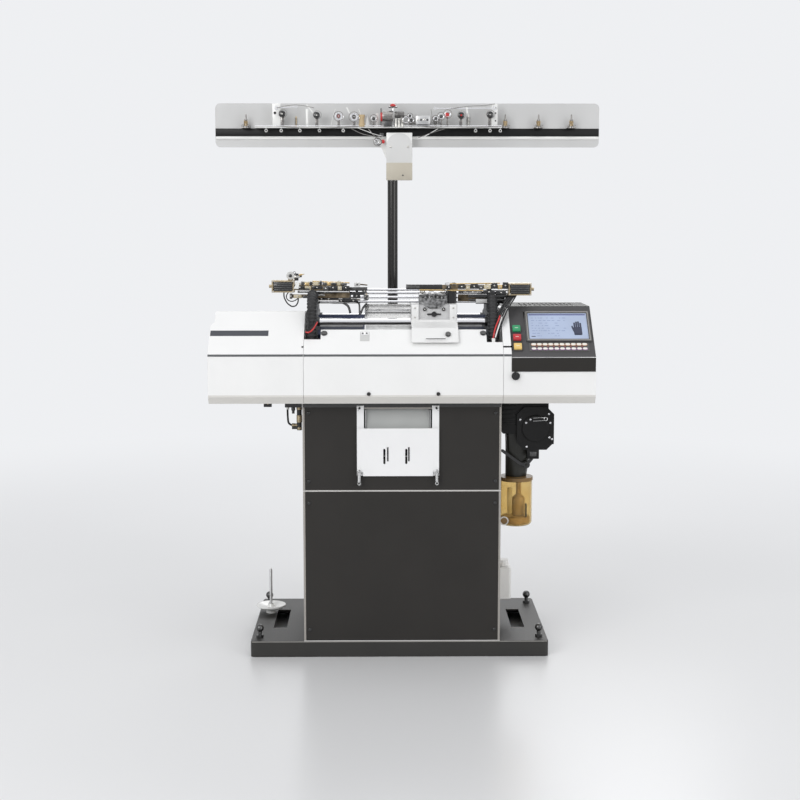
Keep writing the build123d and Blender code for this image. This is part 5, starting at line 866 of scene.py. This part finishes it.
for offset, gauge in ((0, 3.2), (7, 2.6), (14, 2.2), (-7, 2.8)):
    points = [
        (345 + offset * 0.5, -168, 1092), (330 + offset, -190, 1080), (308 + offset, -212, 1052),
        (290 + offset, -228, 1012), (281 + offset * 0.6, -240, 976), (279 + offset * 0.6, -236, 930),
    ]
    cable(leads, points, gauge, rubber)
leads.done()


# Console
# Dark powder-coated housing with a silver line at its fold and a black vented roof. The screen
# sits in a silver-edged frame, with a membrane of oval keys and three square buttons.
console_front_y = -314.0
console_fold_z = 914.0
console_left_x = 326.2
console_right_x = 570.8
roof_z = 1.0515
screen_left = 385.0
screen_right = 553.0
screen_low = 73.5
screen_high = 172.5
screen_lift = 3.52
key_columns = 10
vent_left_x = 338.0
vent_pitch = 6.0
button_x = 345.0
button_half = 8.6
key_middle = 467.0
key_pitch = 176.0 / 10.6


def on_console(x, run, above=0.0):
    return on_slope(x, run, above, console_front_y, console_fold_z)


def lit(name, colour, strength):
    """Lit screen under clear plastic."""
    material, tree, shader = new_material(name)
    colours = between(
        tree, grain(tree, 14.0, 1.0), toned(colour, 0.94), toned(colour, 1.06), shader.inputs["Base Color"]
    )
    tree.links.new(colours, shader.inputs["Emission Color"])
    shader.inputs["Emission Strength"].default_value = strength
    shader.inputs["Roughness"].default_value = 0.3
    return material


def console_coat(name, colours, heights, roughness=0.46):
    """Coat in three tones: fascia, slope and roof, split at two heights."""
    material, tree, shader = new_material(name)
    slow = grain(tree, 7.0, 2.0)
    colour = between(tree, slow, toned(colours[0], 0.95), toned(colours[0], 1.05), None)
    for tone, height in zip(colours[1:], heights):
        mix = tree.nodes.new("ShaderNodeMix")
        mix.data_type = "RGBA"
        tree.links.new(over_height(tree, height), mix.inputs["Factor"])
        tree.links.new(colour, mix.inputs["A"])
        tree.links.new(between(tree, slow, toned(tone, 0.95), toned(tone, 1.05), None), mix.inputs["B"])
        colour = mix.outputs["Result"]
    tree.links.new(colour, shader.inputs["Base Color"])
    fine = grain(tree, 800.0, 2.0)
    between(tree, fine, roughness * 0.85, roughness * 1.15, shader.inputs["Roughness"])
    relief(tree, shader, fine, 0.3)
    shader.inputs["Specular IOR Level"].default_value = 0.1
    return material


console_paint = console_coat(
    "console_paint", [(0.032, 0.030, 0.028), (0.088, 0.086, 0.088), (0.016, 0.016, 0.014)], [0.9138, roof_z]
)
frame_grey = coated("frame_plastic", (0.075, 0.073, 0.070), 0.42)
frame_silver = coated("frame_silver", (0.26, 0.25, 0.24), 0.35)
screen_light = lit("screen_light", (0.31, 0.37, 0.50), 0.28)
screen_bar = lit("screen_bar", (0.10, 0.11, 0.28), 0.2)
screen_ink = lit("screen_ink", (0.15, 0.19, 0.36), 0.2)
screen_navy = lit("screen_navy", (0.006, 0.012, 0.045), 0.1)
dress(console_paint, "console_housing")
dress(screen_light, "display")
dress(frame_grey, "keypad")
screen_face = Piece("display_face", "machine", "screen")
for left, right, low, high, look, lift in (
    (screen_left, screen_right, screen_high - 5, screen_high, screen_bar, 0.05),
    (screen_left, screen_right, screen_high - 1.4, screen_high, screen_navy, 0.1),
    (screen_left + 3, screen_left + 15, screen_low + 6, screen_low + 9, screen_navy, 0.05),
):
    slope_plate(screen_face, left, right, low, high, look, 0.12, screen_lift + lift, on_console)
for row in range(8):
    run = screen_high - 16 - row * 10.5
    start = screen_left + 6
    while start < screen_left + 104:
        length = random.uniform(3, 12)
        if random.random() < 0.7:
            slope_plate(
                screen_face, start, start + length, run - 0.8, run + 0.8, screen_ink, 0.12,
                screen_lift + 0.05, on_console,
            )
        start += length + random.uniform(2, 9)
palm_x = 527.0
palm_run = 103.0
for half_width, low, high in ((12, -15, 16), (10, -17, -12)):
    slope_plate(
        screen_face, palm_x - half_width, palm_x + half_width, palm_run + low, palm_run + high, screen_navy,
        0.12, screen_lift + 0.1, on_console,
    )
for index, reach in enumerate((22, 26, 27, 21)):
    finger_x = palm_x - 9.0 + index * 6.0
    slope_plate(
        screen_face, finger_x - 2.6, finger_x + 2.6, palm_run + 10, palm_run + 12 + reach, screen_navy, 0.12,
        screen_lift + 0.14, on_console,
    )
thumb = [
    (palm_x - 11, palm_run - 12), (palm_x - 9, palm_run + 2), (palm_x - 15, palm_run + 22),
    (palm_x - 19, palm_run + 18),
]
screen_face.plate(
    [on_console(x, run, screen_lift + 0.16) for x, run in thumb], slope_normal, 0.12, screen_navy
)
screen_face.done()
bezel = Piece("display_bezel", "machine", "black_plastic")
for left, right, low, high in (
    (373.0, 565.0, 61.0, 69.5), (373.0, 565.0, 176.5, 185.0), (373.0, 381.5, 69.5, 176.5),
    (556.5, 565.0, 69.5, 176.5),
):
    slope_plate(bezel, left, right, low, high, frame_grey, 0.5, 5.02, on_console)
for left, right, low, high in (
    (376.0, 562.0, 63.5, 67.0), (376.0, 562.0, 178.5, 182.0), (376.0, 379.0, 67.0, 178.5),
    (559.0, 562.0, 67.0, 178.5),
):
    slope_plate(bezel, left, right, low, high, frame_silver, 0.5, 5.5, on_console)
# The black line along the frame's left edge is painted shadow.
slope_plate(bezel, 369.6, 372.0, 60.0, 186.0, black_gloss, 0.5, 0.1, on_console)
bezel.done()
orange_key = coated("orange_key", (0.72, 0.42, 0.26), 0.35)
purple_key = coated("purple_key", (0.34, 0.16, 0.36), 0.35)
key_cap = coated("key_cap", (0.84, 0.82, 0.76), 0.3)
key_mark = coated("key_mark", (0.24, 0.06, 0.05), 0.4)
keys = Piece("keypad_keys", "machine", "keypad_grey")
for run, rim in ((49.5, orange_key), (32.0, purple_key)):
    for column in range(key_columns):
        key_x = key_middle + (column - (key_columns - 1) / 2) * key_pitch
        slope_plate(keys, key_x - 7.9, key_x + 7.9, run - 5.6, run + 5.2, rim, 0.4, 2.4, on_console, 5.4)
        slope_plate(
            keys, key_x - 6.7, key_x + 6.7, run - 3.6, run + 4.6, key_cap, 0.4, 2.85, on_console, 4.1
        )
for column in range(key_columns - 1):
    mark_x = key_middle + (column - (key_columns - 2) / 2) * key_pitch
    slope_plate(keys, mark_x - 3.0, mark_x + 3.0, 38.2, 43.2, key_mark, 0.3, 2.4, on_console, 2.4)
keys.done()
trim = Piece("console_trim", "machine", "zinc")
trim.block(
    (console_left_x, console_front_y - 0.9, console_fold_z - 1.4),
    (console_right_x, console_front_y, console_fold_z + 0.8), bright_steel, 0.3,
)
for row in range(3):
    for step in range(38):
        vent_x = vent_left_x + step * vent_pitch + (row % 2) * vent_pitch / 2
        trim.turned(
            (vent_x, -140 + row * 62, 1053.05), (0, 0, 1), [(0, 2.3), (0.5, 2.3), (0.5, 1.5)], frame_silver,
            8,
        )
trim.done()
cap_places = (
    ("start_button", 111, (0.02, 0.30, 0.12)), ("stop_button", 75, (0.52, 0.02, 0.03)),
    ("reset_button", 38, (0.80, 0.56, 0.18)),
)
for name, run, cap_colour in cap_places:
    cap_paint = coated(name + "_plastic", cap_colour, 0.4)
    dress(cap_paint, name)
    cap = Piece(name + "_face", name, "white_plastic")
    slope_plate(
        cap, button_x - button_half, button_x + button_half, run - button_half, run + button_half, cap_paint,
        0.8, 8.62, on_console,
    )
    slope_plate(cap, button_x - 4.6, button_x + 4.6, run - 0.8, run + 0.8, key_cap, 0.15, 9.45, on_console)
    cap.done()
dress(black_gloss, "switch_knob")


# Mast
# Dark polished pole in a socket. Its head is a folded channel in white paint with a cream
# skirt below, a screw in the skirt, and a gusset on the left.
mast_split_z = 1.4325
skirt_face_y = 81.2

mast_finish = two_tones(
    "mast_finish", (0.030, 0.029, 0.028), (0.66, 0.66, 0.65), mast_split_z, 0.16, 0.05, 0.05, (0.55, 0.0)
)
cream_skirt = coated("cream_skirt", (0.50, 0.46, 0.38), 0.4)
dress(mast_finish, "mast")
mast_head = Piece("mast_head_fittings", "machine", "cream")
mast_head.block((-37.9, skirt_face_y, 1433), (43.6, 122.5, 1487), cream_skirt, 1.5)
mast_head.turned((14, skirt_face_y, 1448), front, [(0, 2.4), (1.2, 2.4), (1.6, 1.8)], oxide, 16)
mast_head.plate(
    [(-38, 100, 1560), (-62, 100, 1560), (-62, 100, 1552), (-38, 100, 1500)], front, 3.0, enamel
)
mast_head.block((-37.6, 83.6, 1500), (43.4, 122, 1579.5), enamel, 2.0)
for screw_x in (-24, 30):
    mast_head.turned((screw_x, 82, 1536), front, [(0, 3.4), (1.8, 3.4), (2.4, 2.6)], zinc, 18)
mast_head.done()


# Tension panel and shelf
# Satin grey sheet with a black strip that stands proud, a rolled edge painted lighter as a highlight, and a
# lip below.
# A white shelf in front carries the tension units.
panel_grey = (0.58, 0.58, 0.575)
strip_black = (0.006, 0.006, 0.006)
strip_low_z = 1.5701
strip_high_z = 1.5941
panel_face_y = 126.0
shelf_top_z = 1597.0

dress(coated("panel_satin", panel_grey, 0.34, 0.05, 0.08, 500.0), "tension_panel")
dress(enamel, "tension_shelf")
panel_trim = Piece("panel_trim", "machine", "chrome")
# The rolled edge is coloured lighter than the sheet it is rolled from: painted highlight.
highlit_rolled_edge = coated("highlit_rolled_edge", (0.82, 0.82, 0.80), 0.25)
strip_paint = coated("strip_paint", strip_black, 0.4, gloss=0.2)
panel_trim.block((-573.4, 121.6, strip_low_z * 1000), (631.4, 122.4, strip_high_z * 1000), strip_paint, 0.2)
panel_trim.rod((-572, panel_face_y - 1, 1565), (630, panel_face_y - 1, 1565), 5.15, highlit_rolled_edge, 24)
panel_trim.done()


# Tension units
# Thumb knobs, disc tensioners, wire rings, springs and a red-topped lamp stand along the shelf.
# They are turned, pressed and wire parts in black, zinc and chrome, with a few coloured ones.
unit_y = 90.0
plate_front_y = 88.0
dark_wire = bare_metal("dark_wire", (0.26, 0.25, 0.24), 0.3, scale=200.0, spread=0.3)
tan_card = coated("tan_card", (0.50, 0.38, 0.22), 0.5)
posts_x = (-476.0, 335.0, 439.0, 542.0)
hooks_x = (-412, -365, -307, -246, -172, 241, 286, 318)
up = Vector((0, 0, 1))

units = Piece("tension_units", "machine", "steel")
for knob_x, knob_z in ((-361, 1636), (-254, 1632), (195, 1632), (285, 1634)):
    units.rod((knob_x, unit_y + 6, knob_z), (knob_x, unit_y - 12, knob_z), 4.0, zinc)
    units.block((knob_x - 5, unit_y - 2, shelf_top_z), (knob_x + 5, unit_y + 4, knob_z + 7), dark_wire, 0.8)
    units.turned(
        (knob_x, unit_y - 10, knob_z), front, [(0, 10.5), (5, 10.5), (6.4, 9.0), (7.0, 4.0), (9, 3.6)],
        black_gloss, 28,
    )
    units.turned((knob_x, unit_y - 19, knob_z), front, [(0, 2.4), (0.8, 2.4)], zinc, 14)
    eye(units, (knob_x + 2, unit_y - 8, knob_z + 2), front, 12.4, 0.6, dark_wire)
for disc_x, disc_z, disc_radius in ((-186, 1629, 15), (-138, 1627, 16)):
    units.rod((disc_x, unit_y + 6, disc_z), (disc_x, unit_y - 26, disc_z), 2.2, zinc)
    units.block((disc_x - 4, unit_y, shelf_top_z), (disc_x + 4, unit_y + 5, disc_z + 6), dark_wire, 0.8)
    eye(units, (disc_x, unit_y - 12, disc_z), front, disc_radius, 0.9, dark_wire)
    eye(units, (disc_x + 3, unit_y - 15, disc_z - 2), front, disc_radius - 3, 0.7, chrome)
    units.turned(
        (disc_x, unit_y - 8, disc_z), front, [(0, 11.5), (1.4, 8.0), (2.2, 7.6), (4.6, 11.5), (5.4, 11.5)],
        chrome, 28,
    )
    units.turned(
        (disc_x, unit_y - 13, disc_z), front, [(0, 4.6), (6, 4.6), (7, 3.2)],
        red_plastic if disc_x < -150 else oxide, 18,
    )
    spring(units, (disc_x, unit_y - 15, disc_z), front, 9, 6.2, 0.7, 5, dark_wire)
for ring_x, ring_z, ring_radius in (
    (153, 1636, 13.5), (133, 1629, 12.5), (-77, 1622, 12.0), (40, 1617, 11.0), (116, 1622, 10.5),
    (36, 1630, 9.0),
):
    units.block((ring_x - 3, unit_y - 4, shelf_top_z), (ring_x + 3, unit_y + 2, ring_z), dark_wire, 0.8)
    eye(units, (ring_x, unit_y - 14, ring_z), front, ring_radius, 0.9, dark_wire)
    eye(units, (ring_x, unit_y - 17, ring_z), front, ring_radius * 0.62, 0.7, chrome)
    units.turned((ring_x, unit_y - 4, ring_z), front, [(0, 5), (8, 5), (9, 3.4)], oxide, 18)
units.turned(
    (-114, unit_y - 10, shelf_top_z), up,
    [(0, 9.4), (6, 10.2), (12, 8.2), (26, 8.2), (31, 10.2), (37, 9.2)], tan_card,
)
units.turned(
    (-96, unit_y - 8, shelf_top_z), up, [(0, 9.0), (10, 8.0), (26, 4.0), (32, 1.5)], pale_alloy, 20
)
units.rod((-54, unit_y - 12, shelf_top_z), (-54, unit_y - 12, 1654), 1.6, oxide)
units.turned((-56, unit_y - 14, 1627), (1, 0, 0), [(0, 13.0), (5, 14.0), (6, 14.0)], red_plastic, 30)
units.turned(
    (-50, unit_y - 14, 1629), (1, 0, 0), [(0, 15.6), (2, 16.2), (30, 16.2), (33, 15.2)], dark_wire, 34
)
units.block((-46, unit_y - 20, shelf_top_z), (-20, unit_y - 4, 1616), oxide, 0.8)
units.turned((-17, unit_y - 10, 1646), up, [(0, 4.2), (12, 4.2)], bright_steel, 18)
units.turned((-17, unit_y - 10, 1655), up, [(0, 14.0), (3, 14.0), (5, 9.8)], black_gloss, 28)
units.turned((-17, unit_y - 10, 1659.8), up, [(0, 9.4), (4, 8.6), (7.4, 5.6), (8.6, 1.5)], red_plastic, 28)
units.turned((-12, unit_y - 12, 1634), (1, 0, 0), [(0, 8.6), (3, 9.4), (28, 9.4), (31, 8.2)], dark_wire, 26)
for groove in range(7):
    eye(units, (-8 + groove * 4.0, unit_y - 12, 1634), (1, 0, 0), 9.6, 1.0, oxide, 20)
for stud_x in (-8, 2, 12):
    units.turned(
        (stud_x, unit_y - 14, shelf_top_z), up, [(0, 4.6), (8, 4.6), (9, 3.2), (26, 3.2)], zinc, 16
    )
eye(units, (20, unit_y - 20, 1619), front, 12.6, 1.0, dark_wire)
eye(units, (23, unit_y - 22, 1618), front, 9.0, 0.9, chrome)
units.block((54, unit_y - 20, 1604), (98, unit_y - 2, 1630), bright_steel, 1.4)
units.block((60, unit_y - 12, shelf_top_z), (92, unit_y - 4, 1605), oxide, 0.8)
for step, stud_x in enumerate((60, 70, 80, 90)):
    units.turned(
        (stud_x, unit_y - 20, 1618), front, [(0, 3.6), (3, 3.6), (3.6, 2.4)], oxide if step % 2 else zinc,
        14,
    )
for step in range(7):
    units.turned(
        (106 + step * 3.9, unit_y, 1618), (1, 0, 0), [(0, 12.4), (1.3, 13.4), (2.2, 12.4)],
        dark_wire if step % 2 else chrome, 26,
    )
units.turned((151, unit_y - 4, 1633), front, [(0, 6.0), (8, 7.5), (12, 6.5), (14, 3.0)], red_plastic, 22)
units.turned((195, unit_y - 19.6, 1632), front, [(0, 3.0), (5, 3.0)], red_plastic, 12)
spring(units, (218, unit_y - 8, shelf_top_z + 2), up, 30, 6.6, 0.9, 7, dark_wire)
units.rod((218, unit_y - 8, shelf_top_z), (218, unit_y - 8, 1636), 2.0, zinc)
spring(units, (-318, unit_y - 8, shelf_top_z + 2), up, 26, 4.4, 0.8, 7, dark_wire)
units.rod((-318, unit_y - 8, shelf_top_z), (-318, unit_y - 8, 1629), 1.6, brass)
spring(units, (42, unit_y - 18, 1608), (1, 0, 0), 11, 5.0, 0.7, 6, dark_wire)
for post_x in posts_x:
    post = (post_x, 104.0, shelf_top_z)
    units.turned(
        post, up,
        [
            (-3, 10.5), (2, 10.5), (4, 6.5), (10, 5.4), (20, 3.2), (21, 5.2), (24, 5.2), (25, 2.6),
            (38, 2.2), (40, 1.2),
        ],
        dark_wire,
    )
    spring(units, (post_x, 104.0, shelf_top_z + 5), up, 15, 6.4, 0.9, 5, brass)
    for side in (-1, 1):
        eye(units, (post_x + side * 9, 98.0, shelf_top_z + 3), front, 4.0, 1.0, dark_wire)
    units.block((post_x - 14, 96, shelf_top_z - 3), (post_x + 14, 122, shelf_top_z), dark_wire, 0.6)
for hook_x in hooks_x:
    units.rod((hook_x, 88, 1590), (hook_x, 88, shelf_top_z), 1.4, dark_wire)
    eye(units, (hook_x, 88, 1585), front, 4.2, 1.3, dark_wire)
units.done("tensioners")
plates = Piece("tension_plates", "machine", "white_sheet")
for low, high in (
    ((-392, plate_front_y, shelf_top_z), (-367, 91.8, 1669)), ((-288, 84, shelf_top_z), (-280, 92, 1652)),
    ((291, plate_front_y, shelf_top_z), (309, 91.8, 1667)),
):
    plates.block(low, high, enamel, 0.8)
plates.turned((-384, plate_front_y, 1640), front, [(0, 4.2), (0.6, 4.2)], black_gloss, 18)
for hole_z in (1616, 1640, 1656):
    plates.turned((303, plate_front_y, hole_z), front, [(0, 2.4), (0.6, 2.4)], black_gloss, 14)
for first_x, first_z, last_x, last_z in (
    (-285, 1665, -264, 1638), (-161, 1657, -152, 1638), (212, 1660, 215, 1638)
):
    plates.plate(
        [
            (first_x - 2.5, 86, first_z), (first_x + 2.5, 86, first_z), (last_x + 2.5, 86, last_z),
            (last_x - 2.5, 86, last_z),
        ],
        front, 2.0, enamel,
    )
plates.done()
yarn_wires = Piece("yarn_wires", "machine", "chrome")
yarn_wires.rod((-446, 75.6, 1600), (322, 75.6, 1600), 1.3, chrome)
for points, gauge, look in (
    ([(-379, 84, 1655), (-340, 82, 1664), (-300, 82, 1664), (-262, 84, 1655)], 0.9, dark_wire),
    ([(160, 84, 1652), (220, 82, 1662), (270, 84, 1662), (300, 86, 1668)], 0.9, dark_wire),
    ([(-210, 82, 1600), (-204, 74, 1630), (-196, 72, 1650)], 0.9, enamel),
    ([(-124, 78, 1650), (-112, 74, 1630), (-120, 74, 1602)], 0.9, enamel),
    ([(100, 74, 1604), (108, 70, 1624), (101, 72, 1650)], 0.9, dark_wire),
    ([(-150, 84, 1594), (-126, 80, 1580), (-96, 78, 1570), (-62, 82, 1566)], 1.2, dark_wire),
    ([(-128, 84, 1594), (-100, 80, 1584), (-76, 78, 1574), (-48, 82, 1568)], 1.0, enamel),
    ([(-94, 84, 1592), (-84, 78, 1578), (-72, 78, 1566), (-64, 82, 1560)], 1.2, dark_wire),
    ([(146, 84, 1592), (120, 80, 1584), (90, 78, 1574), (62, 82, 1564)], 1.0, dark_wire),
    ([(124, 84, 1592), (104, 80, 1580), (86, 78, 1570), (66, 82, 1560)], 1.2, enamel),
    ([(-380, 76, 1599), (-300, 72, 1592), (-200, 72, 1594), (-120, 74, 1598)], 0.8, dark_wire),
    ([(60, 76, 1599), (140, 72, 1592), (220, 72, 1594), (310, 74, 1598)], 0.8, dark_wire),
):
    cable(yarn_wires, points, gauge, look, 7)
eye(yarn_wires, (-65, 84, 1551), front, 12.0, 1.2, dark_wire)
eye(yarn_wires, (-61, 82, 1551), front, 9.0, 1.0, oxide)
eye(yarn_wires, (-67, 80, 1552), front, 6.0, 0.9, chrome)
yarn_wires.turned((-48, 90, 1552), front, [(0, 6), (6, 6), (7, 4.5)], red_plastic, 20)
yarn_wires.block((-58, 82, 1566), (-46, 92, 1578), oxide, 0.8)
yarn_wires.done()
dress(chrome, "take_up_arm_left", "take_up_arm_right", "tensioners")


# Waste blower
# Black painted motor and flange with bright screws and a narrow looped handle. A black duct
# leads down to the amber jar, closed by a black clamp lever.
blower_black = coated("blower_black", (0.0045, 0.0045, 0.0045), 0.45, 0.3, 0.3, gloss=0.25)
duct_black = two_tones("duct_black", (0.20, 0.115, 0.035), (0.012, 0.012, 0.008), 0.5335, 0.35, 0.3, 0.05)
flange_front_y = -204.2
disc_front_y = flange_front_y - 4.0
fin_count = 5
fin_pitch = 13.0

dress(blower_black, "waste_blower")
dress(duct_black, "blower_duct")
dress(bright_steel, "impeller")
dress(black_gloss, "clamp_lever")
blower = Piece("blower_fittings", "machine", "black_metal")
for screw_x, screw_z, screw_y in (
    (362, 716, flange_front_y), (379, 707, disc_front_y), (392, 717, disc_front_y),
    (448, 733, flange_front_y), (452, 706, flange_front_y), (450, 662, flange_front_y),
    (458, 657, flange_front_y), (382, 634, flange_front_y),
):
    blower.turned((screw_x, screw_y, screw_z), front, [(0, 3.4), (1.8, 3.4), (2.6, 2.6)], chrome, 18)
for slot_z in (713, 722):
    blower.rod(
        (400, disc_front_y - 0.6, slot_z - 1), (438, disc_front_y - 0.6, slot_z + 1), 1.3, bright_steel
    )
eye(blower, (438, disc_front_y - 0.6, 718), front, 5.0, 1.3, bright_steel)
blower.block((440, flange_front_y, 641), (463.8, flange_front_y + 7.8, 672), blower_black, 1.0)
blower.block((384, -203, 596), (420, -176, 626), blower_black, 2.0)
blower.block((392, -204, 604), (412, -200, 618), oxide, 1.0)
for step in range(fin_count):
    fin_z = 700 + step * fin_pitch
    blower.block((306, -198.5, fin_z), (350, -196, fin_z + 6), blower_black, 0.8)
blower.done()


# Waste jar
# Clear amber jar with lint and a filter core inside. Its drain plug is a black disc in a ring.
jar_y = -130.0
plug_x = 318.0
plug_z = 402.0

amber, amber_tree, amber_shader = new_material("amber_jar")
haze = grain(amber_tree, 24.0)
between(amber_tree, haze, (0.86, 0.68, 0.36), (0.93, 0.80, 0.52), amber_shader.inputs["Base Color"])
between(amber_tree, haze, 0.08, 0.2, amber_shader.inputs["Roughness"], 0.3, 0.8)
amber_shader.inputs["Transmission Weight"].default_value = 0.95
amber_shader.inputs["IOR"].default_value = 1.2
dress(amber, "waste_jar")
jar_core = Piece("jar_core", "machine", "black_plastic")
jar_core.turned((357, jar_y, 386), up, [(0, 40), (5, 44.5), (18, 44.5), (24, 40), (26, 8)], tan_card, 40)
jar_core.turned((366, jar_y, 412), up, [(0, 20), (52, 20), (56, 17), (64, 8), (108, 8)], tan_card, 28)
# The white bar inside the jar, at its front left, is a painted reflection.
jar_core.block((330, -160, 420), (344, -150, 500), key_cap, 2.0)
jar_core.block((384, -168, 410), (388, -150, 452), oxide, 0.8)
eye(jar_core, (plug_x, -181.5, plug_z), front, 12.0, 2.0, key_cap)
jar_core.turned((plug_x, -180.5, plug_z), front, [(0, 9.6), (1.2, 9.6), (1.8, 8)], duct_black, 28)
jar_core.done()


# Air valve
# Brass barrel and elbow below a black block under the left end, with a short black air line
# and a bronze tab beside it.
valve_y = -200.0
valve_top_z = 755.0

dress(black_gloss, "air_valve")
valve = Piece("valve_fittings", "machine", "brass")
valve.turned(
    (-300, valve_y, valve_top_z), -up,
    [
        (0, 8.6), (8, 8.6), (9, 6.8), (24, 6.8), (25, 8.4), (46, 8.4), (47, 6.4), (60, 6.4), (61, 7.6),
        (68, 7.6),
    ],
    passivated,
)
valve.turned((-322.5, valve_y, 700), (1, 0, 0), [(0, 5.4), (8, 5.4), (9, 5.0), (16, 5.0)], passivated, 20)
valve.turned((-318, valve_y, valve_top_z), -up, [(0, 6), (10, 6), (12, 4), (20, 4)], oxide, 18)
valve.turned((-334, valve_y, valve_top_z), -up, [(0, 4), (7, 4), (8, 3)], zinc, 6)
cable(
    valve,
    [(-322, valve_y, 700), (-331, valve_y, 702), (-336, valve_y + 12, 716), (-338, valve_y + 40, 776)], 3.0,
    rubber,
)
valve.turned((-394, valve_y - 3, 766), front, [(0, 3.0), (1.6, 3.0), (2.2, 2.2)], passivated, 16)
valve.done()


# Studio
# Pale floor that keeps the shadow and turns into the white background far from the machine,
# with soft lamps in front, above and behind.
floor_half = 60.0
white_tone = (0.86, 0.87, 0.89)
lens_length = 66.4
camera_spot = (-0.052, -4.5825, 1.325)
camera_dip = 7.15
camera_turn = -0.7

mesh = bpy.data.meshes.new("floor")
corners = [
    (-floor_half, -floor_half, 0), (floor_half, -floor_half, 0), (floor_half, floor_half, 0),
    (-floor_half, floor_half, 0),
]
mesh.from_pydata(corners, [], [(0, 1, 2, 3)])
floor = bpy.data.objects.new("floor", mesh)
floor.location = (0, 0, -0.0005)
pale, tree, shader = new_material("pale_floor")
between(tree, grain(tree, 0.6, 2.0), 0.74, 0.77, shader.inputs["Base Color"])
shader.inputs["Roughness"].default_value = 0.3
place = tree.nodes.new("ShaderNodeTexCoord")
distance = tree.nodes.new("ShaderNodeVectorMath")
distance.operation = "LENGTH"
tree.links.new(place.outputs["Object"], distance.inputs[0])
fade = tree.nodes.new("ShaderNodeMapRange")
fade.interpolation_type = "SMOOTHSTEP"
fade.inputs["From Min"].default_value = 0.7
fade.inputs["From Max"].default_value = 4.5
tree.links.new(distance.outputs["Value"], fade.inputs["Value"])
seen = tree.nodes.new("ShaderNodeLightPath")
share = tree.nodes.new("ShaderNodeMath")
share.operation = "MULTIPLY"
tree.links.new(fade.outputs["Result"], share.inputs[0])
tree.links.new(seen.outputs["Is Camera Ray"], share.inputs[1])
glow = tree.nodes.new("ShaderNodeEmission")
glow.inputs["Color"].default_value = (*white_tone, 1.0)
blend = tree.nodes.new("ShaderNodeMixShader")
tree.links.new(share.outputs[0], blend.inputs["Fac"])
tree.links.new(shader.outputs["BSDF"], blend.inputs[1])
tree.links.new(glow.outputs["Emission"], blend.inputs[2])
tree.links.new(blend.outputs["Shader"], tree.nodes["Material Output"].inputs["Surface"])
mesh.materials.append(pale)
bpy.context.scene.collection.objects.link(floor)

world = bpy.data.worlds.new("studio")
bpy.context.scene.world = world
world.use_nodes = True
tree = world.node_tree
sky = tree.nodes["Background"]
sky.inputs["Color"].default_value = (0.95, 0.965, 1.0, 1.0)
sky.inputs["Strength"].default_value = 0.5
white = tree.nodes.new("ShaderNodeBackground")
white.inputs["Color"].default_value = (*white_tone, 1.0)
ray = tree.nodes.new("ShaderNodeLightPath")
share = ray.outputs["Is Camera Ray"]
for name in ("Is Glossy Ray", "Is Transmission Ray"):
    total = tree.nodes.new("ShaderNodeMath")
    total.use_clamp = True
    tree.links.new(share, total.inputs[0])
    tree.links.new(ray.outputs[name], total.inputs[1])
    share = total.outputs[0]
blend = tree.nodes.new("ShaderNodeMixShader")
tree.links.new(share, blend.inputs["Fac"])
tree.links.new(sky.outputs["Background"], blend.inputs[1])
tree.links.new(white.outputs["Background"], blend.inputs[2])
tree.links.new(blend.outputs["Shader"], tree.nodes["World Output"].inputs["Surface"])

for name, spot, target, size, power in (
    ("key", (-2.6, -3.6, 2.6), (0.0, -0.2, 0.9), 2.4, 88.0),
    ("fill", (3.2, -3.2, 1.8), (0.1, -0.2, 0.9), 2.4, 46.0),
    ("top", (0.0, -0.6, 4.2), (0.0, 0.0, 1.0), 3.0, 26.0),
    ("back", (0.6, 3.2, 3.0), (0.0, 0.0, 1.0), 2.4, 55.0),
):
    lamp = bpy.data.lights.new(name, "AREA")
    lamp.size = size
    lamp.energy = power
    holder = bpy.data.objects.new(name, lamp)
    holder.location = spot
    holder.rotation_euler = (Vector(target) - Vector(spot)).to_track_quat("-Z", "Y").to_euler()
    bpy.context.scene.collection.objects.link(holder)

lens = bpy.data.cameras.new("camera")
lens.sensor_width = 36.0
lens.lens = lens_length
lens.clip_end = 90.0
camera = bpy.data.objects.new("camera", lens)
camera.location = camera_spot
camera.rotation_euler = (math.radians(90.0 - camera_dip), 0.0, math.radians(camera_turn))
bpy.context.scene.collection.objects.link(camera)
bpy.context.scene.camera = camera
bpy.context.scene.view_settings.view_transform = "Standard"
